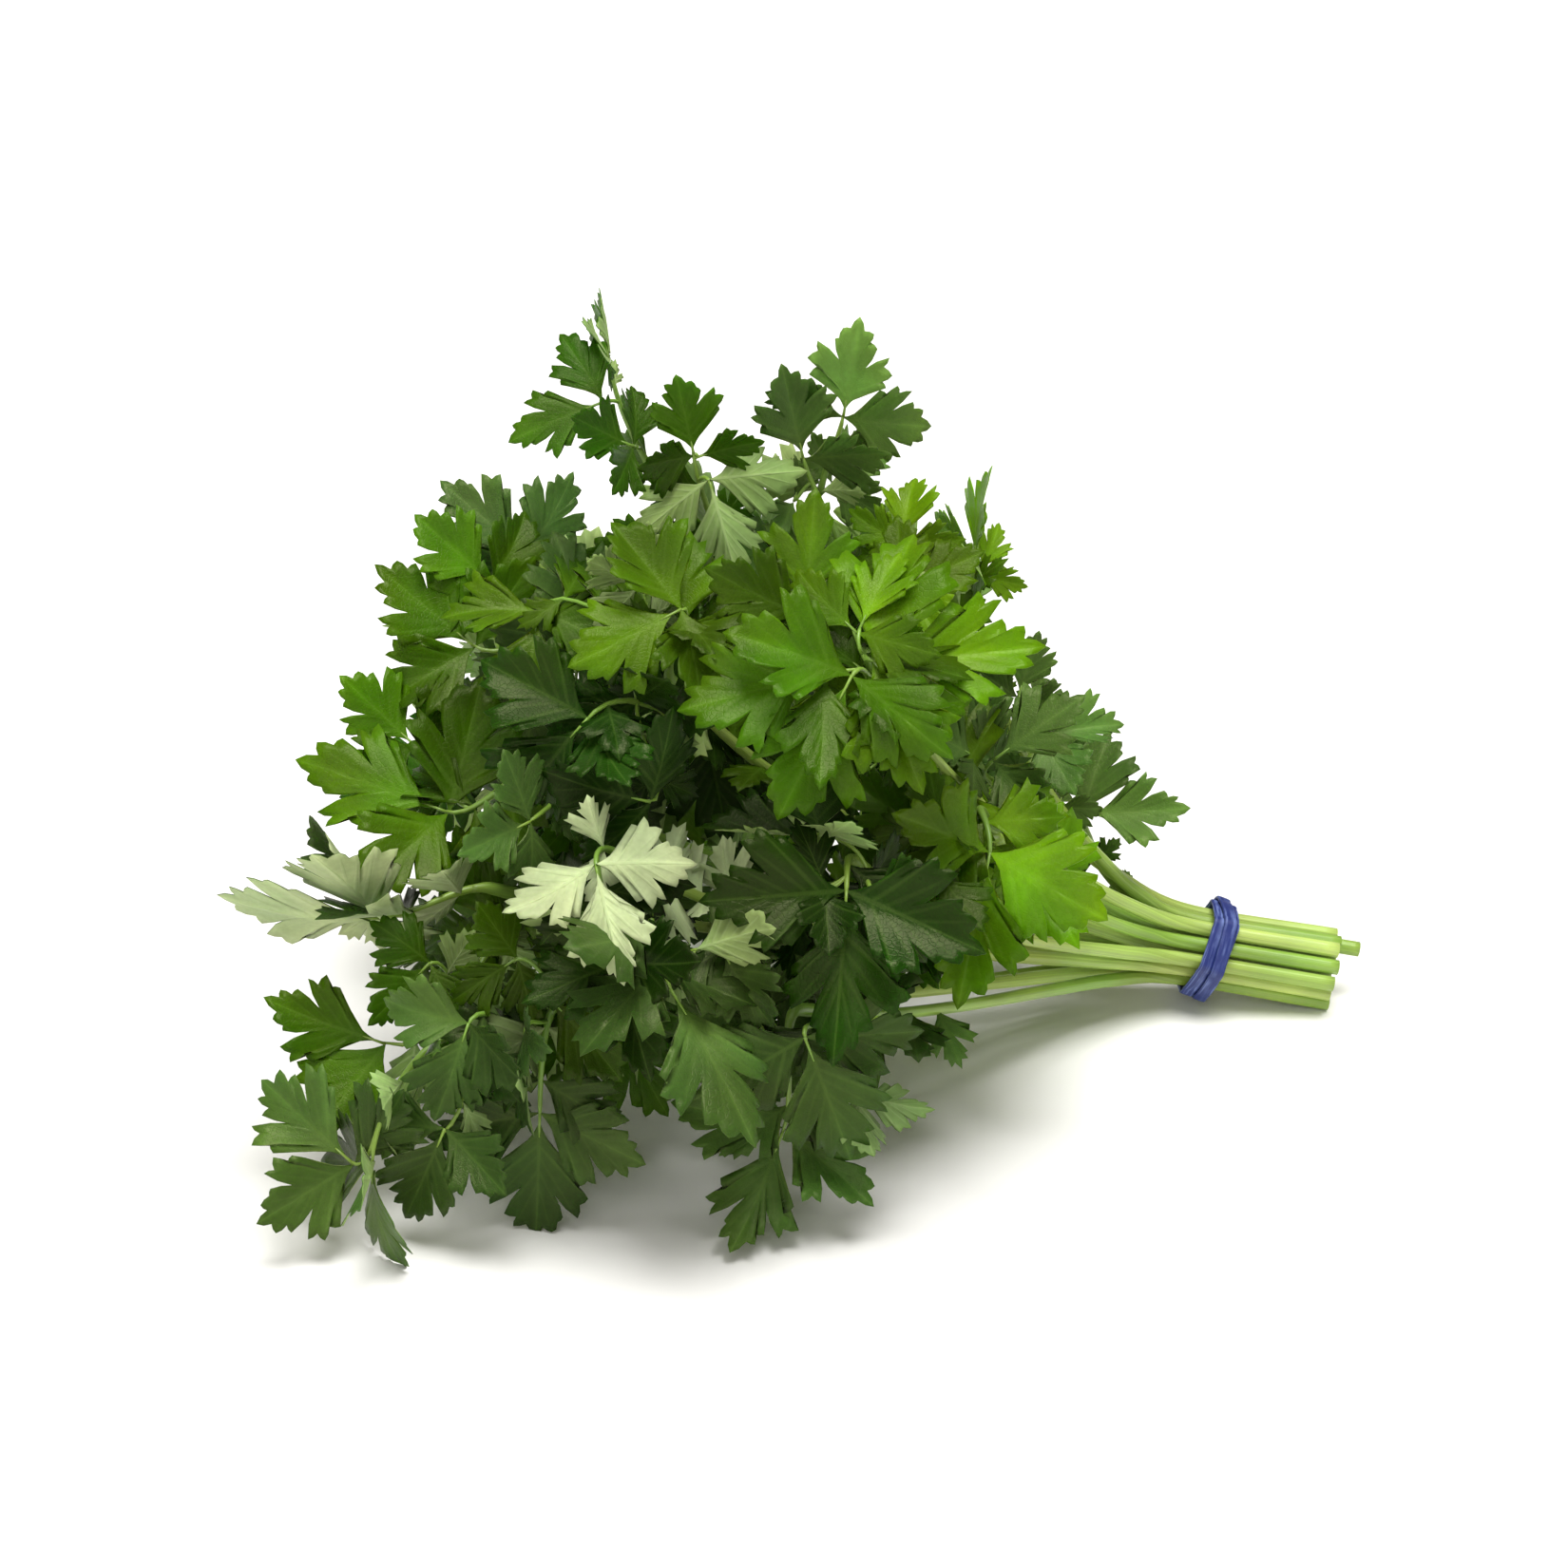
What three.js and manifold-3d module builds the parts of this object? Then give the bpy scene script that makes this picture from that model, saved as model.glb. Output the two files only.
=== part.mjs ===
// A bunch of flat-leaf parsley lying on its side, tied near the cut ends with a rubber band.
// Nineteen stems fan out of the tie. Each carries two compound leaves, and each leaf has sprays of three
// leaflets. Millimetres, +Z up, +X along the bunch towards the cut ends, the leafy head towards -X.
import * as THREE from "three";
import { ParametricGeometry } from "three/addons/geometries/ParametricGeometry.js";
import { mergeVertices } from "three/addons/utils/BufferGeometryUtils.js";
import Module from "manifold-3d";

const wasm = await Module();
wasm.setup();

const V = (x, y, z) => new THREE.Vector3(x, y, z);

// ---------------------------------------------------------------- driving dimensions

const CLEARANCE = 0.35; // least gap between two separate pieces
const TOUCH = 0.01; // a leaf this close to the surface touches it
const SAME_POINT = 1e-4; // corners this close are one corner
const THREAD = 0.01; // a stalk is swept this thin, then given its taper
const STEM_RADIUS = 1.7; // of every stem where it is tied
const FORK_RADIUS = 1.05; // of a stem where its leaves leave it
const STEM_PITCH = 2 * STEM_RADIUS + CLEARANCE; // between neighbours in the tied bundle
const STEM_SIDES = 8;
const STEM_STEPS = 8; // the first runs through the tie

const TIE_CENTRE = V(93.5, 20.5, 13.2);
const BUNDLE_SLOPE = THREE.MathUtils.degToRad(10.5); // the tied end slopes down to the surface
const CUT_BEYOND_TIE = 27; // from the tie to the shortest cut end
const CUT_STAGGER = [0, 0.8, 0.3, 1.2, 0.5]; // how much longer each next stem is cut
const STRAIGHT_PAST_TIE = 6; // the stems stay parallel this far past the tie
const BEND_PAST_TIE = 16; // and then bend away within about this length
const SECOND_LEAF_START = 0.96; // of the stem's path, where its second leaf leaves it
const STEM_LIFT = 0.8; // how strongly the rising stems turn upright towards their forks
const BEND_SHARE = 0.35; // of a stem's reach is bent at most by either turn

const BAND_TURNS = 3;
const BAND_WIDTH = 2.2;
const BAND_THICKNESS = 0.8;
const BAND_SPREAD = 2.2; // half of how far the turns wander along the bundle
const BAND_STACK = 0.72; // half of how far they climb on each other
const BAND_TILT = THREE.MathUtils.degToRad(11);
const BAND_GAP = 0.45; // from the stems
const BAND_STEPS = 24; // per turn

const RACHIS_RADIUS = 0.95; // a leaf's own stalk, where it leaves the stem
const BRANCH_RADIUS = 0.4; // of its branches, and of its own end
const STALK_SIDES = 4;
const STALK_BEND = 0.32; // of a stalk's reach is bent by either turn
const RACHIS_STEPS = 4;
const BRANCH_STEPS = 3;
const BRANCH_LEAN = 0.5; // how far a branch sets off along the rachis rather than towards its spray
const BRANCH_STARTS = [0.25, 0.5, 0.75]; // along the rachis, at its rings

const BLADE_THICKNESS = 0.8; // of a leaflet at its base
const BLADE_TIP_SHARE = 0.5; // of that thickness is left at the tip
const BLADE_BEVEL = 0.88; // the underside is this much narrower than the upper side
const STALK_GRIP = 1; // a stalk reaches this far into its spray
const SIDE_LEAFLET_SHARE = 0.85; // of the end leaflet's length
const SIDE_LEAFLET_ANGLE = THREE.MathUtils.degToRad(70);
const SIDE_LEAFLET_FOLD = THREE.MathUtils.degToRad(14); // the side leaflets lift off the spray's plane

// A leaflet's outline for a length of 1, from its neck to its tip at (0, 1): a neck, a lobe at each side
// with a notch, and the middle lobe.
const NECK = [0.05, 0.08];
const LOBES = [
  [0.4, 0.6],
  [0.22, 0.66],
  [0, 1],
  [-0.22, 0.66],
  [-0.4, 0.6],
];

// ---------------------------------------------------------------- the sprigs

// Which way a spray's upper side looks. The front is -Y.
const FACES = {
  front: V(0, -1, 0.3),
  frontUp: V(0, -0.75, 0.75),
  up: V(0, -0.15, 1),
  down: V(0, 0.45, -1),
  back: V(0, 1, 0.25),
  backUp: V(0, 0.75, 0.75),
  under: V(0, 1, -0.45), // the pale underside looks to the front
  left: V(-1, -0.25, 0.15),
  right: V(1, -0.3, 0.15),
  leftUp: V(-0.7, -0.2, 0.7),
  rightUp: V(0.7, -0.2, 0.7),
};

// A spray: where its three leaflets leave the stalk, where the end leaflet's tip reaches, and its face.
// rests: its lowest leaflet lies on the surface.
const spray = (base, tip, face, rests = false) => ({
  base: V(...base),
  tip: V(...tip),
  face: FACES[face].clone().normalize(),
  rests,
});

// Each sprig: its fork, where the stem ends and its leaves begin, and the sprays of its two leaves.
const SPRIGS = [
  {
    fork: [-19, -6, 120],
    first: [
      spray([-35, -5, 157], [-36, -6, 171], "left"),
      spray([-36, -8, 149], [-54, -13, 144], "frontUp"),
      spray([-30, -12, 141], [-42, -18, 149], "frontUp"),
    ],
    second: [
      spray([-18, -9, 138], [-21, -11, 154], "frontUp"),
      spray([-15, -12, 134], [-9, -23, 116], "under"),
      spray([-22, 2, 112], [-26, 6, 92], "frontUp"),
    ],
  },
  {
    fork: [8, 5, 118],
    first: [
      spray([12, 3, 142], [15, 0, 162], "frontUp"),
      spray([10, 8, 126], [19, 15, 135], "rightUp"),
    ],
    second: [
      spray([4, 0, 134], [0, -5, 154], "frontUp"),
      spray([2, 0, 125], [-7, -4, 132], "frontUp"),
      spray([2, 8, 108], [-8, 10, 90], "frontUp"),
      spray([12, 10, 104], [24, 14, 92], "frontUp"),
    ],
  },
  {
    fork: [16, -46, 110],
    first: [
      spray([17, -54, 112], [48, -46, 110], "frontUp"),
      spray([14, -52, 117], [22, -43, 132], "frontUp"),
    ],
    second: [
      spray([13, -59, 111], [0, -74, 90], "front"),
      spray([4, -44, 117], [6, -33, 138], "frontUp"),
      spray([8, -58, 111], [-18, -66, 108], "frontUp"),
      spray([20, -32, 92], [28, -30, 74], "frontUp"),
    ],
  },
  {
    fork: [38, 8, 96],
    first: [
      spray([40, 12, 107], [39, 12, 127], "left"),
      spray([41, 13, 104], [45, 15, 115], "frontUp"),
    ],
    second: [
      spray([24, -18, 113], [39, -13, 118], "frontUp"),
      spray([24, -8, 119], [26, -2, 132], "frontUp"),
      spray([30, 14, 84], [20, 16, 66], "frontUp"),
    ],
  },
  {
    fork: [46, -2, 60],
    first: [
      spray([43, -15, 74], [60, -13, 87], "frontUp"),
      spray([39, -18, 76], [29, -24, 86], "frontUp"),
    ],
    second: [
      spray([54, 2, 72], [71, 6, 75], "frontUp"),
      spray([49, 4, 80], [53, 7, 93], "frontUp"),
      spray([30, 4, 66], [18, 4, 50], "frontUp"),
    ],
  },
  {
    fork: [65, 28, 40],
    longer: 7,
    first: [
      spray([65, 24, 44], [86, 19, 48], "frontUp"),
      spray([60, 24, 46], [62, 26, 56], "frontUp"),
    ],
    second: [
      spray([56, 28, 48], [70, 42, 54], "backUp"),
      spray([50, 32, 40], [58, 50, 32], "back"),
    ],
  },
  {
    fork: [40, -33, 70],
    first: [
      spray([41, -47, 68], [35, -61, 43], "frontUp"),
      spray([47, -38, 67], [58, -41, 61], "frontUp"),
    ],
    second: [
      spray([31, -48, 73], [17, -54, 76], "frontUp"),
      spray([31, -52, 65], [21, -62, 57], "frontUp"),
      spray([28, -20, 60], [14, -20, 44], "frontUp"),
      spray([22, -8, 36], [8, -8, 20], "frontUp"),
    ],
  },
  {
    fork: [14, -60, 72],
    first: [
      spray([12, -75, 73], [10, -89, 45], "front"),
      spray([8, -74, 73], [-7, -80, 72], "frontUp"),
    ],
    second: [
      spray([17, -73, 72], [26, -81, 61], "front"),
      spray([7, -60, 78], [-14, -63, 81], "up"),
      spray([6, -42, 56], [-8, -40, 36], "frontUp"),
      spray([20, -44, 50], [26, -46, 26], "frontUp"),
    ],
  },
  {
    fork: [3, -72, 46],
    first: [
      spray([0, -75, 21], [-9, -87, 0], "front", true),
      spray([-12, -76, 61], [-4, -86, 50], "front"),
      spray([-8, -56, 36], [-14, -54, 12], "front"),
    ],
    second: [
      spray([4, -84, 46], [13, -88, 22], "front"),
      spray([14, -77, 30], [27, -74, 23], "down"),
    ],
  },
  {
    fork: [-30, -65, 74],
    first: [
      spray([-36, -76, 79], [-31, -90, 62], "under"),
      spray([-32, -80, 60], [-26, -91, 42], "front"),
      spray([-30, -52, 56], [-46, -50, 40], "frontUp"),
    ],
    second: [
      spray([-22, -84, 57], [-12, -91, 26], "right"),
      spray([-18, -79, 62], [-8, -92, 44], "under"),
    ],
  },
  {
    fork: [-42, -68, 46],
    first: [
      spray([-48, -76, 25], [-49, -80, 0], "front", true),
      spray([-50, -80, 46], [-52, -91, 30], "left"),
    ],
    second: [
      spray([-46, -74, 50], [-32, -81, 36], "front"),
      spray([-52, -70, 56], [-64, -78, 51], "front"),
      spray([-36, -52, 36], [-30, -50, 12], "frontUp"),
    ],
  },
  {
    fork: [-62, -70, 40],
    first: [
      spray([-80, -88, 21], [-80, -96, 0], "left", true),
      spray([-84, -84, 18], [-102, -80, 34], "front"),
    ],
    second: [
      spray([-61, -80, 47], [-67, -89, 31], "front"),
      spray([-66, -84, 26], [-74, -89, 8], "front"),
      spray([-62, -50, 30], [-72, -44, 10], "frontUp"),
    ],
  },
  {
    fork: [-58, -43, 58],
    first: [
      spray([-80, -50, 55], [-112, -50, 53], "backUp"),
      spray([-84, -44, 58], [-94, -39, 71], "left"),
    ],
    second: [
      spray([-79, -64, 34], [-102, -60, 41], "front"),
      spray([-70, -60, 50], [-81, -67, 41], "front"),
      spray([-60, -30, 44], [-82, -26, 36], "frontUp"),
      spray([-52, -30, 36], [-56, -26, 12], "frontUp"),
      spray([-60, -12, 28], [-78, -8, 16], "frontUp"),
    ],
  },
  {
    fork: [-50, -24, 74],
    first: [
      spray([-68, -30, 69], [-97, -25, 79], "frontUp"),
      spray([-76, -14, 77], [-90, -9, 89], "frontUp"),
    ],
    second: [
      spray([-49, -65, 83], [-61, -77, 82], "front"),
      spray([-46, -14, 58], [-62, -10, 42], "frontUp"),
      spray([-36, -12, 64], [-28, -12, 42], "frontUp"),
      spray([-30, 0, 40], [-36, 4, 18], "front"),
    ],
  },
  {
    fork: [-42, 6, 92],
    first: [
      spray([-64, 0, 93], [-83, 5, 108], "frontUp"),
      spray([-61, 9, 104], [-75, 11, 117], "frontUp"),
    ],
    second: [
      spray([-54, 20, 106], [-71, 24, 120], "frontUp"),
      spray([-40, -15, 101], [-45, -9, 122], "frontUp"),
      spray([-36, 10, 76], [-34, 12, 52], "frontUp"),
      spray([-52, 12, 78], [-74, 16, 68], "frontUp"),
      spray([-50, 24, 56], [-66, 26, 40], "frontUp"),
    ],
  },
  {
    fork: [-22, -36, 100],
    first: [
      spray([-20, -42, 118], [-40, -53, 111], "frontUp"),
      spray([-49, -23, 110], [-52, -40, 96], "frontUp"),
    ],
    second: [
      spray([-38, -54, 100], [-57, -67, 88], "frontUp"),
      spray([-29, -30, 118], [-40, -35, 127], "under"),
      spray([-14, -22, 92], [2, -22, 80], "frontUp"),
      spray([-16, -20, 84], [-12, -20, 60], "frontUp"),
      spray([-26, -58, 84], [-44, -66, 92], "front"),
    ],
  },
  {
    fork: [-40, 46, 66],
    first: [
      spray([-62, 50, 72], [-86, 54, 80], "backUp"),
      spray([-54, 66, 62], [-70, 84, 58], "back"),
      spray([-50, 42, 86], [-62, 48, 104], "backUp"),
    ],
    second: [
      spray([-44, 70, 44], [-52, 88, 26], "back"),
      spray([-66, 58, 38], [-86, 70, 22], "back"),
      spray([-70, 38, 50], [-98, 40, 44], "leftUp"),
      spray([-44, 30, 56], [-62, 30, 44], "frontUp"),
      spray([-30, 36, 74], [-24, 36, 94], "frontUp"),
    ],
  },
  {
    fork: [0, 50, 70],
    first: [
      spray([-10, 46, 92], [-22, 56, 114], "backUp"),
      spray([4, 62, 82], [4, 84, 92], "backUp"),
      spray([-20, 64, 74], [-34, 86, 78], "backUp"),
    ],
    second: [
      spray([8, 74, 56], [12, 94, 42], "back"),
      spray([-14, 76, 50], [-22, 96, 34], "back"),
      spray([-6, 72, 22], [-12, 94, 0], "back", true),
      spray([-8, 34, 56], [-24, 34, 44], "frontUp"),
    ],
  },
  {
    fork: [28, 40, 58],
    first: [
      spray([34, 44, 76], [40, 56, 96], "backUp"),
      spray([42, 54, 62], [56, 70, 66], "backUp"),
      spray([20, 52, 86], [16, 64, 105], "back"),
    ],
    second: [
      spray([36, 62, 42], [46, 82, 30], "back"),
      spray([22, 68, 30], [28, 90, 8], "back"),
      spray([50, 42, 36], [64, 56, 28], "back"),
      spray([16, 30, 50], [0, 30, 36], "frontUp"),
      spray([24, 16, 36], [10, 18, 20], "frontUp"),
    ],
  },
];

// ---------------------------------------------------------------- solids

// A geometry as a manifold solid. Only positions count, so that shared corners merge.
function solidFrom(geometry) {
  geometry.deleteAttribute("normal");
  geometry.deleteAttribute("uv");
  const merged = mergeVertices(geometry, SAME_POINT);
  return new wasm.Manifold(
    new wasm.Mesh({
      numProp: 3,
      vertProperties: new Float32Array(merged.getAttribute("position").array),
      triVerts: new Uint32Array(merged.index.array),
    }),
  );
}

function geometryFrom(solid) {
  const mesh = solid.getMesh();
  const geometry = new THREE.BufferGeometry();
  geometry.setAttribute("position", new THREE.BufferAttribute(mesh.vertProperties, 3));
  geometry.setIndex(new THREE.BufferAttribute(mesh.triVerts, 1));
  return geometry.toNonIndexed();
}

// A stalk along a curve, tapering evenly from one radius to the other.
function stalk(curve, startRadius, endRadius, sides, steps) {
  const circle = new THREE.Shape().absarc(0, 0, THREAD, 0, 2 * Math.PI);
  const section = new THREE.Shape(circle.getSpacedPoints(sides));
  const tube = new THREE.ExtrudeGeometry(section, { extrudePath: curve, steps, bevelEnabled: false });
  const centres = curve.getSpacedPoints(steps);
  const corners = tube.getAttribute("position");
  for (let i = 0; i < corners.count; i++) {
    const corner = new THREE.Vector3().fromBufferAttribute(corners, i);
    const distances = centres.map((centre) => centre.distanceTo(corner));
    const ring = distances.indexOf(Math.min(...distances));
    const radius = THREE.MathUtils.lerp(startRadius, endRadius, ring / steps);
    corner.sub(centres[ring]).setLength(radius).add(centres[ring]);
    corners.setXYZ(i, corner.x, corner.y, corner.z);
  }
  return solidFrom(tube);
}

// A point on a leaflet's upper (side 1) or under (side -1) surface, which draw together towards the tip.
function bladePoint({ place, length, thickness }, [x, y], side) {
  const half = (thickness / 2) * THREE.MathUtils.lerp(1, BLADE_TIP_SHARE, y);
  const width = side > 0 ? 1 : BLADE_BEVEL;
  return V(x * length * width, y * length, half * side).applyMatrix4(place);
}

// The outline round leaflets that share a base, in order from one side to the other: the base, then each
// leaflet's neck and lobes, then the last neck. Neighbours meet at the middle of their necks.
// pointOn gives a leaflet's point for a point of the outline.
function outlineOf(leaflets, pointOn) {
  const middle = (points) => points.reduce((sum, p) => sum.add(p)).divideScalar(points.length);
  const outline = [middle(leaflets.map((leaflet) => pointOn(leaflet, [0, 0])))];
  leaflets.forEach((leaflet, i) => {
    const meeting = [pointOn(leaflet, [NECK[0], NECK[1]])];
    if (i > 0) meeting.push(pointOn(leaflets[i - 1], [-NECK[0], NECK[1]]));
    outline.push(middle(meeting), ...LOBES.map((point) => pointOn(leaflet, point)));
  });
  outline.push(pointOn(leaflets.at(-1), [-NECK[0], NECK[1]]));
  return outline;
}

// The leaflets as one thin closed plate: a flat cut-out, bent so that each leaflet has its own place.
function plate(leaflets) {
  const flat = outlineOf(leaflets, ({ spread }, [x, y]) =>
    new THREE.Vector2(x, y).rotateAround(new THREE.Vector2(), spread),
  );
  const bent = [-1, 1].map((side) =>
    outlineOf(leaflets, (leaflet, point) => bladePoint(leaflet, point, side)),
  );
  const cutOut = new THREE.ExtrudeGeometry(new THREE.Shape(flat), { depth: 1, bevelEnabled: false });
  const corners = cutOut.getAttribute("position");
  for (let i = 0; i < corners.count; i++) {
    const here = new THREE.Vector2(corners.getX(i), corners.getY(i));
    const index = flat.findIndex((point) => point.distanceTo(here) < SAME_POINT);
    const { x, y, z } = bent[corners.getZ(i)][index];
    corners.setXYZ(i, x, y, z);
  }
  return solidFrom(cutOut);
}

// Whether a solid passes through itself: one of its edges meets a face that has neither of its ends.
function crossesItself(solid) {
  const { vertProperties, triVerts } = solid.getMesh();
  const corners = [];
  for (let i = 0; i < vertProperties.length; i += 3) corners.push(V(...vertProperties.slice(i, i + 3)));
  const faces = [];
  for (let i = 0; i < triVerts.length; i += 3) faces.push([...triVerts.slice(i, i + 3)]);
  const edges = faces
    .flatMap(([a, b, c]) => [[a, b], [b, c], [c, a]])
    .filter(([from, to]) => from < to);
  const ray = new THREE.Ray();
  const met = V(0, 0, 0);
  return edges.some(([from, to]) => {
    ray.origin.copy(corners[from]);
    ray.lookAt(corners[to]);
    const reach = corners[from].distanceTo(corners[to]);
    return faces.some((face) => {
      if (face.includes(from) || face.includes(to)) return false;
      const [a, b, c] = face.map((i) => corners[i]);
      return ray.intersectTriangle(a, b, c, false, met) !== null && met.distanceTo(ray.origin) <= reach;
    });
  });
}

// ---------------------------------------------------------------- what has grown so far

const grown = [];

function remember(node, solid) {
  grown.push({ node, solid, box: solid.boundingBox() });
  return solid;
}

const apart = (a, b) => [0, 1, 2].some((k) => a.min[k] > b.max[k] || b.min[k] > a.max[k]);

// Whether a solid is clear of every other node.
function isClear(solid, node) {
  const box = solid.boundingBox();
  return grown.every(
    (other) => other.node === node || apart(box, other.box) || solid.intersect(other.solid).isEmpty(),
  );
}

// ---------------------------------------------------------------- the tied bundle

const bundleAxis = V(Math.cos(BUNDLE_SLOPE), 0, -Math.sin(BUNDLE_SLOPE)); // towards the cut ends
const bundleUp = V(Math.sin(BUNDLE_SLOPE), 0, Math.cos(BUNDLE_SLOPE));
const bundleSide = V(0, 1, 0);

// The stems' places in the tie, packed like coins: rows of 3, 4, 5, 4 and 3, the lowest row first.
function bundlePlaces() {
  const places = [];
  [3, 4, 5, 4, 3].forEach((count, row) => {
    for (let i = 0; i < count; i++) {
      const across = (i - (count - 1) / 2) * STEM_PITCH;
      const height = ((row - 2) * STEM_PITCH * Math.sqrt(3)) / 2;
      places.push(
        TIE_CENTRE.clone().addScaledVector(bundleSide, across).addScaledVector(bundleUp, height),
      );
    }
  });
  return places;
}

// The stems lie in the tie as they fan out of it: the lowest sprigs take the lowest row, and each row
// runs from front to back.
function assignPlaces() {
  const places = bundlePlaces();
  const spread = SPRIGS.map((sprig, index) => {
    const way = V(...sprig.fork).sub(TIE_CENTRE);
    const reach = way.length();
    return { index, height: way.z / reach, across: way.y / reach };
  }).sort((a, b) => a.height - b.height);
  const assigned = [];
  let taken = 0;
  for (const count of [3, 4, 5, 4, 3]) {
    const row = spread.slice(taken, taken + count).sort((a, b) => a.across - b.across);
    row.forEach((entry, i) => {
      assigned[entry.index] = places[taken + i];
    });
    taken += count;
  }
  return assigned;
}

// A stem's path: one straight step through the tie, then even steps along the bend.
class StemPath extends THREE.Curve {
  constructor(cut, bend) {
    super();
    this.straight = new THREE.LineCurve3(cut, bend.v0);
    this.bend = bend;
  }

  getUtoTmapping(u) {
    return u;
  }

  getPoint(t) {
    const steps = t * STEM_STEPS;
    if (steps < 1) return this.straight.getPoint(steps);
    return this.bend.getPointAt((steps - 1) / (STEM_STEPS - 1));
  }
}

// From the cut end straight through the tie, then in a long bend up to the fork.
function stemPath(place, fork, cutLength, bulge) {
  const cut = place.clone().addScaledVector(bundleAxis, cutLength);
  const leave = place.clone().addScaledVector(bundleAxis, -STRAIGHT_PAST_TIE);
  const reach = fork.distanceTo(leave);
  const bend = Math.min(BEND_PAST_TIE, BEND_SHARE * reach);
  const corner = leave.clone().addScaledVector(bundleAxis, -bend);
  const arrival = fork.clone().sub(corner).normalize();
  arrival.z *= 1 + STEM_LIFT;
  const turn = fork.clone().addScaledVector(arrival.normalize(), -BEND_SHARE * reach).add(bulge);
  return new StemPath(cut, new THREE.CubicBezierCurve3(leave, corner, turn, fork));
}

// ---------------------------------------------------------------- leaves

// Small steps aside for a stalk that would run into another, nearest first.
const BULGES = [V(0, 0, 0)];
for (const size of [3, 6, 10, 15]) {
  for (const way of [V(0, 0, 1), V(0, -1, 0), V(0, 1, 0), V(-1, 0, 0), V(0, 0, -1), V(1, 0, 0)]) {
    BULGES.push(way.multiplyScalar(size));
  }
}

// Small turns for a leaflet that would touch another, gentlest first: [swing, pitch, roll] in degrees.
const TURNS = [];
for (const swing of [0, -12, 12, -24, 24]) {
  for (const pitch of [0, -12, 12, -24, 24]) {
    for (const roll of [0, -18, 18, -36, 36]) TURNS.push([swing, pitch, roll]);
  }
}
const turning = ([swing, pitch, roll]) => Math.abs(swing) + Math.abs(pitch) + Math.abs(roll);
TURNS.sort((a, b) => turning(a) - turning(b));
const SHRINKS = [1, 0.85, 0.7];

// A frame at a point: Y along the leaflet, Z out of its upper side.
function frameAt(origin, along, face) {
  const y = along.clone().normalize();
  const x = y.clone().cross(face).normalize();
  const z = x.clone().cross(y);
  return new THREE.Matrix4().makeBasis(x, y, z).setPosition(origin);
}

const turned = (frame, [swing, pitch, roll]) => {
  const angles = [pitch, roll, swing].map((a) => THREE.MathUtils.degToRad(a));
  return frame.clone().multiply(
    new THREE.Matrix4().makeRotationFromEuler(new THREE.Euler(angles[0], angles[1], angles[2], "ZXY")),
  );
};

// The three leaflets of a spray, from one side to the other: the side ones are shorter and lift a little.
function leafletsOf(one) {
  const along = one.tip.clone().sub(one.base);
  const frame = frameAt(one.base, along, one.face);
  const lift = new THREE.Matrix4().makeRotationX(SIDE_LEAFLET_FOLD);
  return [-1, 0, 1].map((side) => {
    const place = frame.clone().multiply(new THREE.Matrix4().makeRotationZ(side * SIDE_LEAFLET_ANGLE));
    if (side !== 0) place.multiply(lift);
    const length = along.length() * (side === 0 ? 1 : SIDE_LEAFLET_SHARE);
    return { place, length, thickness: BLADE_THICKNESS, spread: side * SIDE_LEAFLET_ANGLE };
  });
}

const lowest = (solid) => solid.boundingBox().min[2];

// Lifts a spray that would dip below the surface, and lowers one that rests on it until it touches.
function settle(one) {
  const gap = lowest(plate(leafletsOf(one))) - surface;
  if (gap < 0 || one.rests) {
    one.base.z -= gap;
    one.tip.z -= gap;
  }
  return one;
}

// Grows a stalk from a start to a spray, along the first of its ways that is clear and has no kink.
function growStalk(node, start, heading, one, [startRadius, endRadius], steps) {
  const reach = start.distanceTo(one.base);
  const arrival = one.tip.clone().sub(one.base).normalize();
  for (const bulge of BULGES) {
    const curve = new THREE.CubicBezierCurve3(
      start,
      start.clone().addScaledVector(heading, STALK_BEND * reach).add(bulge),
      one.base.clone().addScaledVector(arrival, -STALK_BEND * reach).add(bulge),
      one.base.clone().addScaledVector(arrival, STALK_GRIP),
    );
    const guard = stalk(curve, startRadius + CLEARANCE, endRadius + CLEARANCE, STALK_SIDES, steps);
    const solid = stalk(curve, startRadius, endRadius, STALK_SIDES, steps);
    if (lowest(guard) > surface && isClear(guard, node) && !crossesItself(solid)) {
      return { curve, solid: remember(node, solid) };
    }
  }
  throw new Error(node + ": a stalk finds no clear way");
}

// The stalks of a leaf: the rachis to its first spray, and a branch off it to each other spray.
function growStalks(node, start, heading, sprays) {
  const [first, ...others] = sprays.map(settle);
  const radii = [RACHIS_RADIUS, BRANCH_RADIUS];
  const rachis = growStalk(node, start, heading, first, radii, RACHIS_STEPS);
  const branches = others.map((other) => {
    const distance = (t) => rachis.curve.getPointAt(t).distanceTo(other.base);
    const from = BRANCH_STARTS.reduce((best, t) => (distance(t) < distance(best) ? t : best));
    const root = rachis.curve.getPointAt(from);
    const leaving = other.base.clone().sub(root).normalize();
    leaving.addScaledVector(rachis.curve.getTangentAt(from), BRANCH_LEAN).normalize();
    return growStalk(node, root, leaving, other, [BRANCH_RADIUS, BRANCH_RADIUS], BRANCH_STEPS);
  });
  return [rachis, ...branches].map(({ solid }) => solid);
}

const bySide = (a, b) => a.spread - b.spread;

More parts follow.
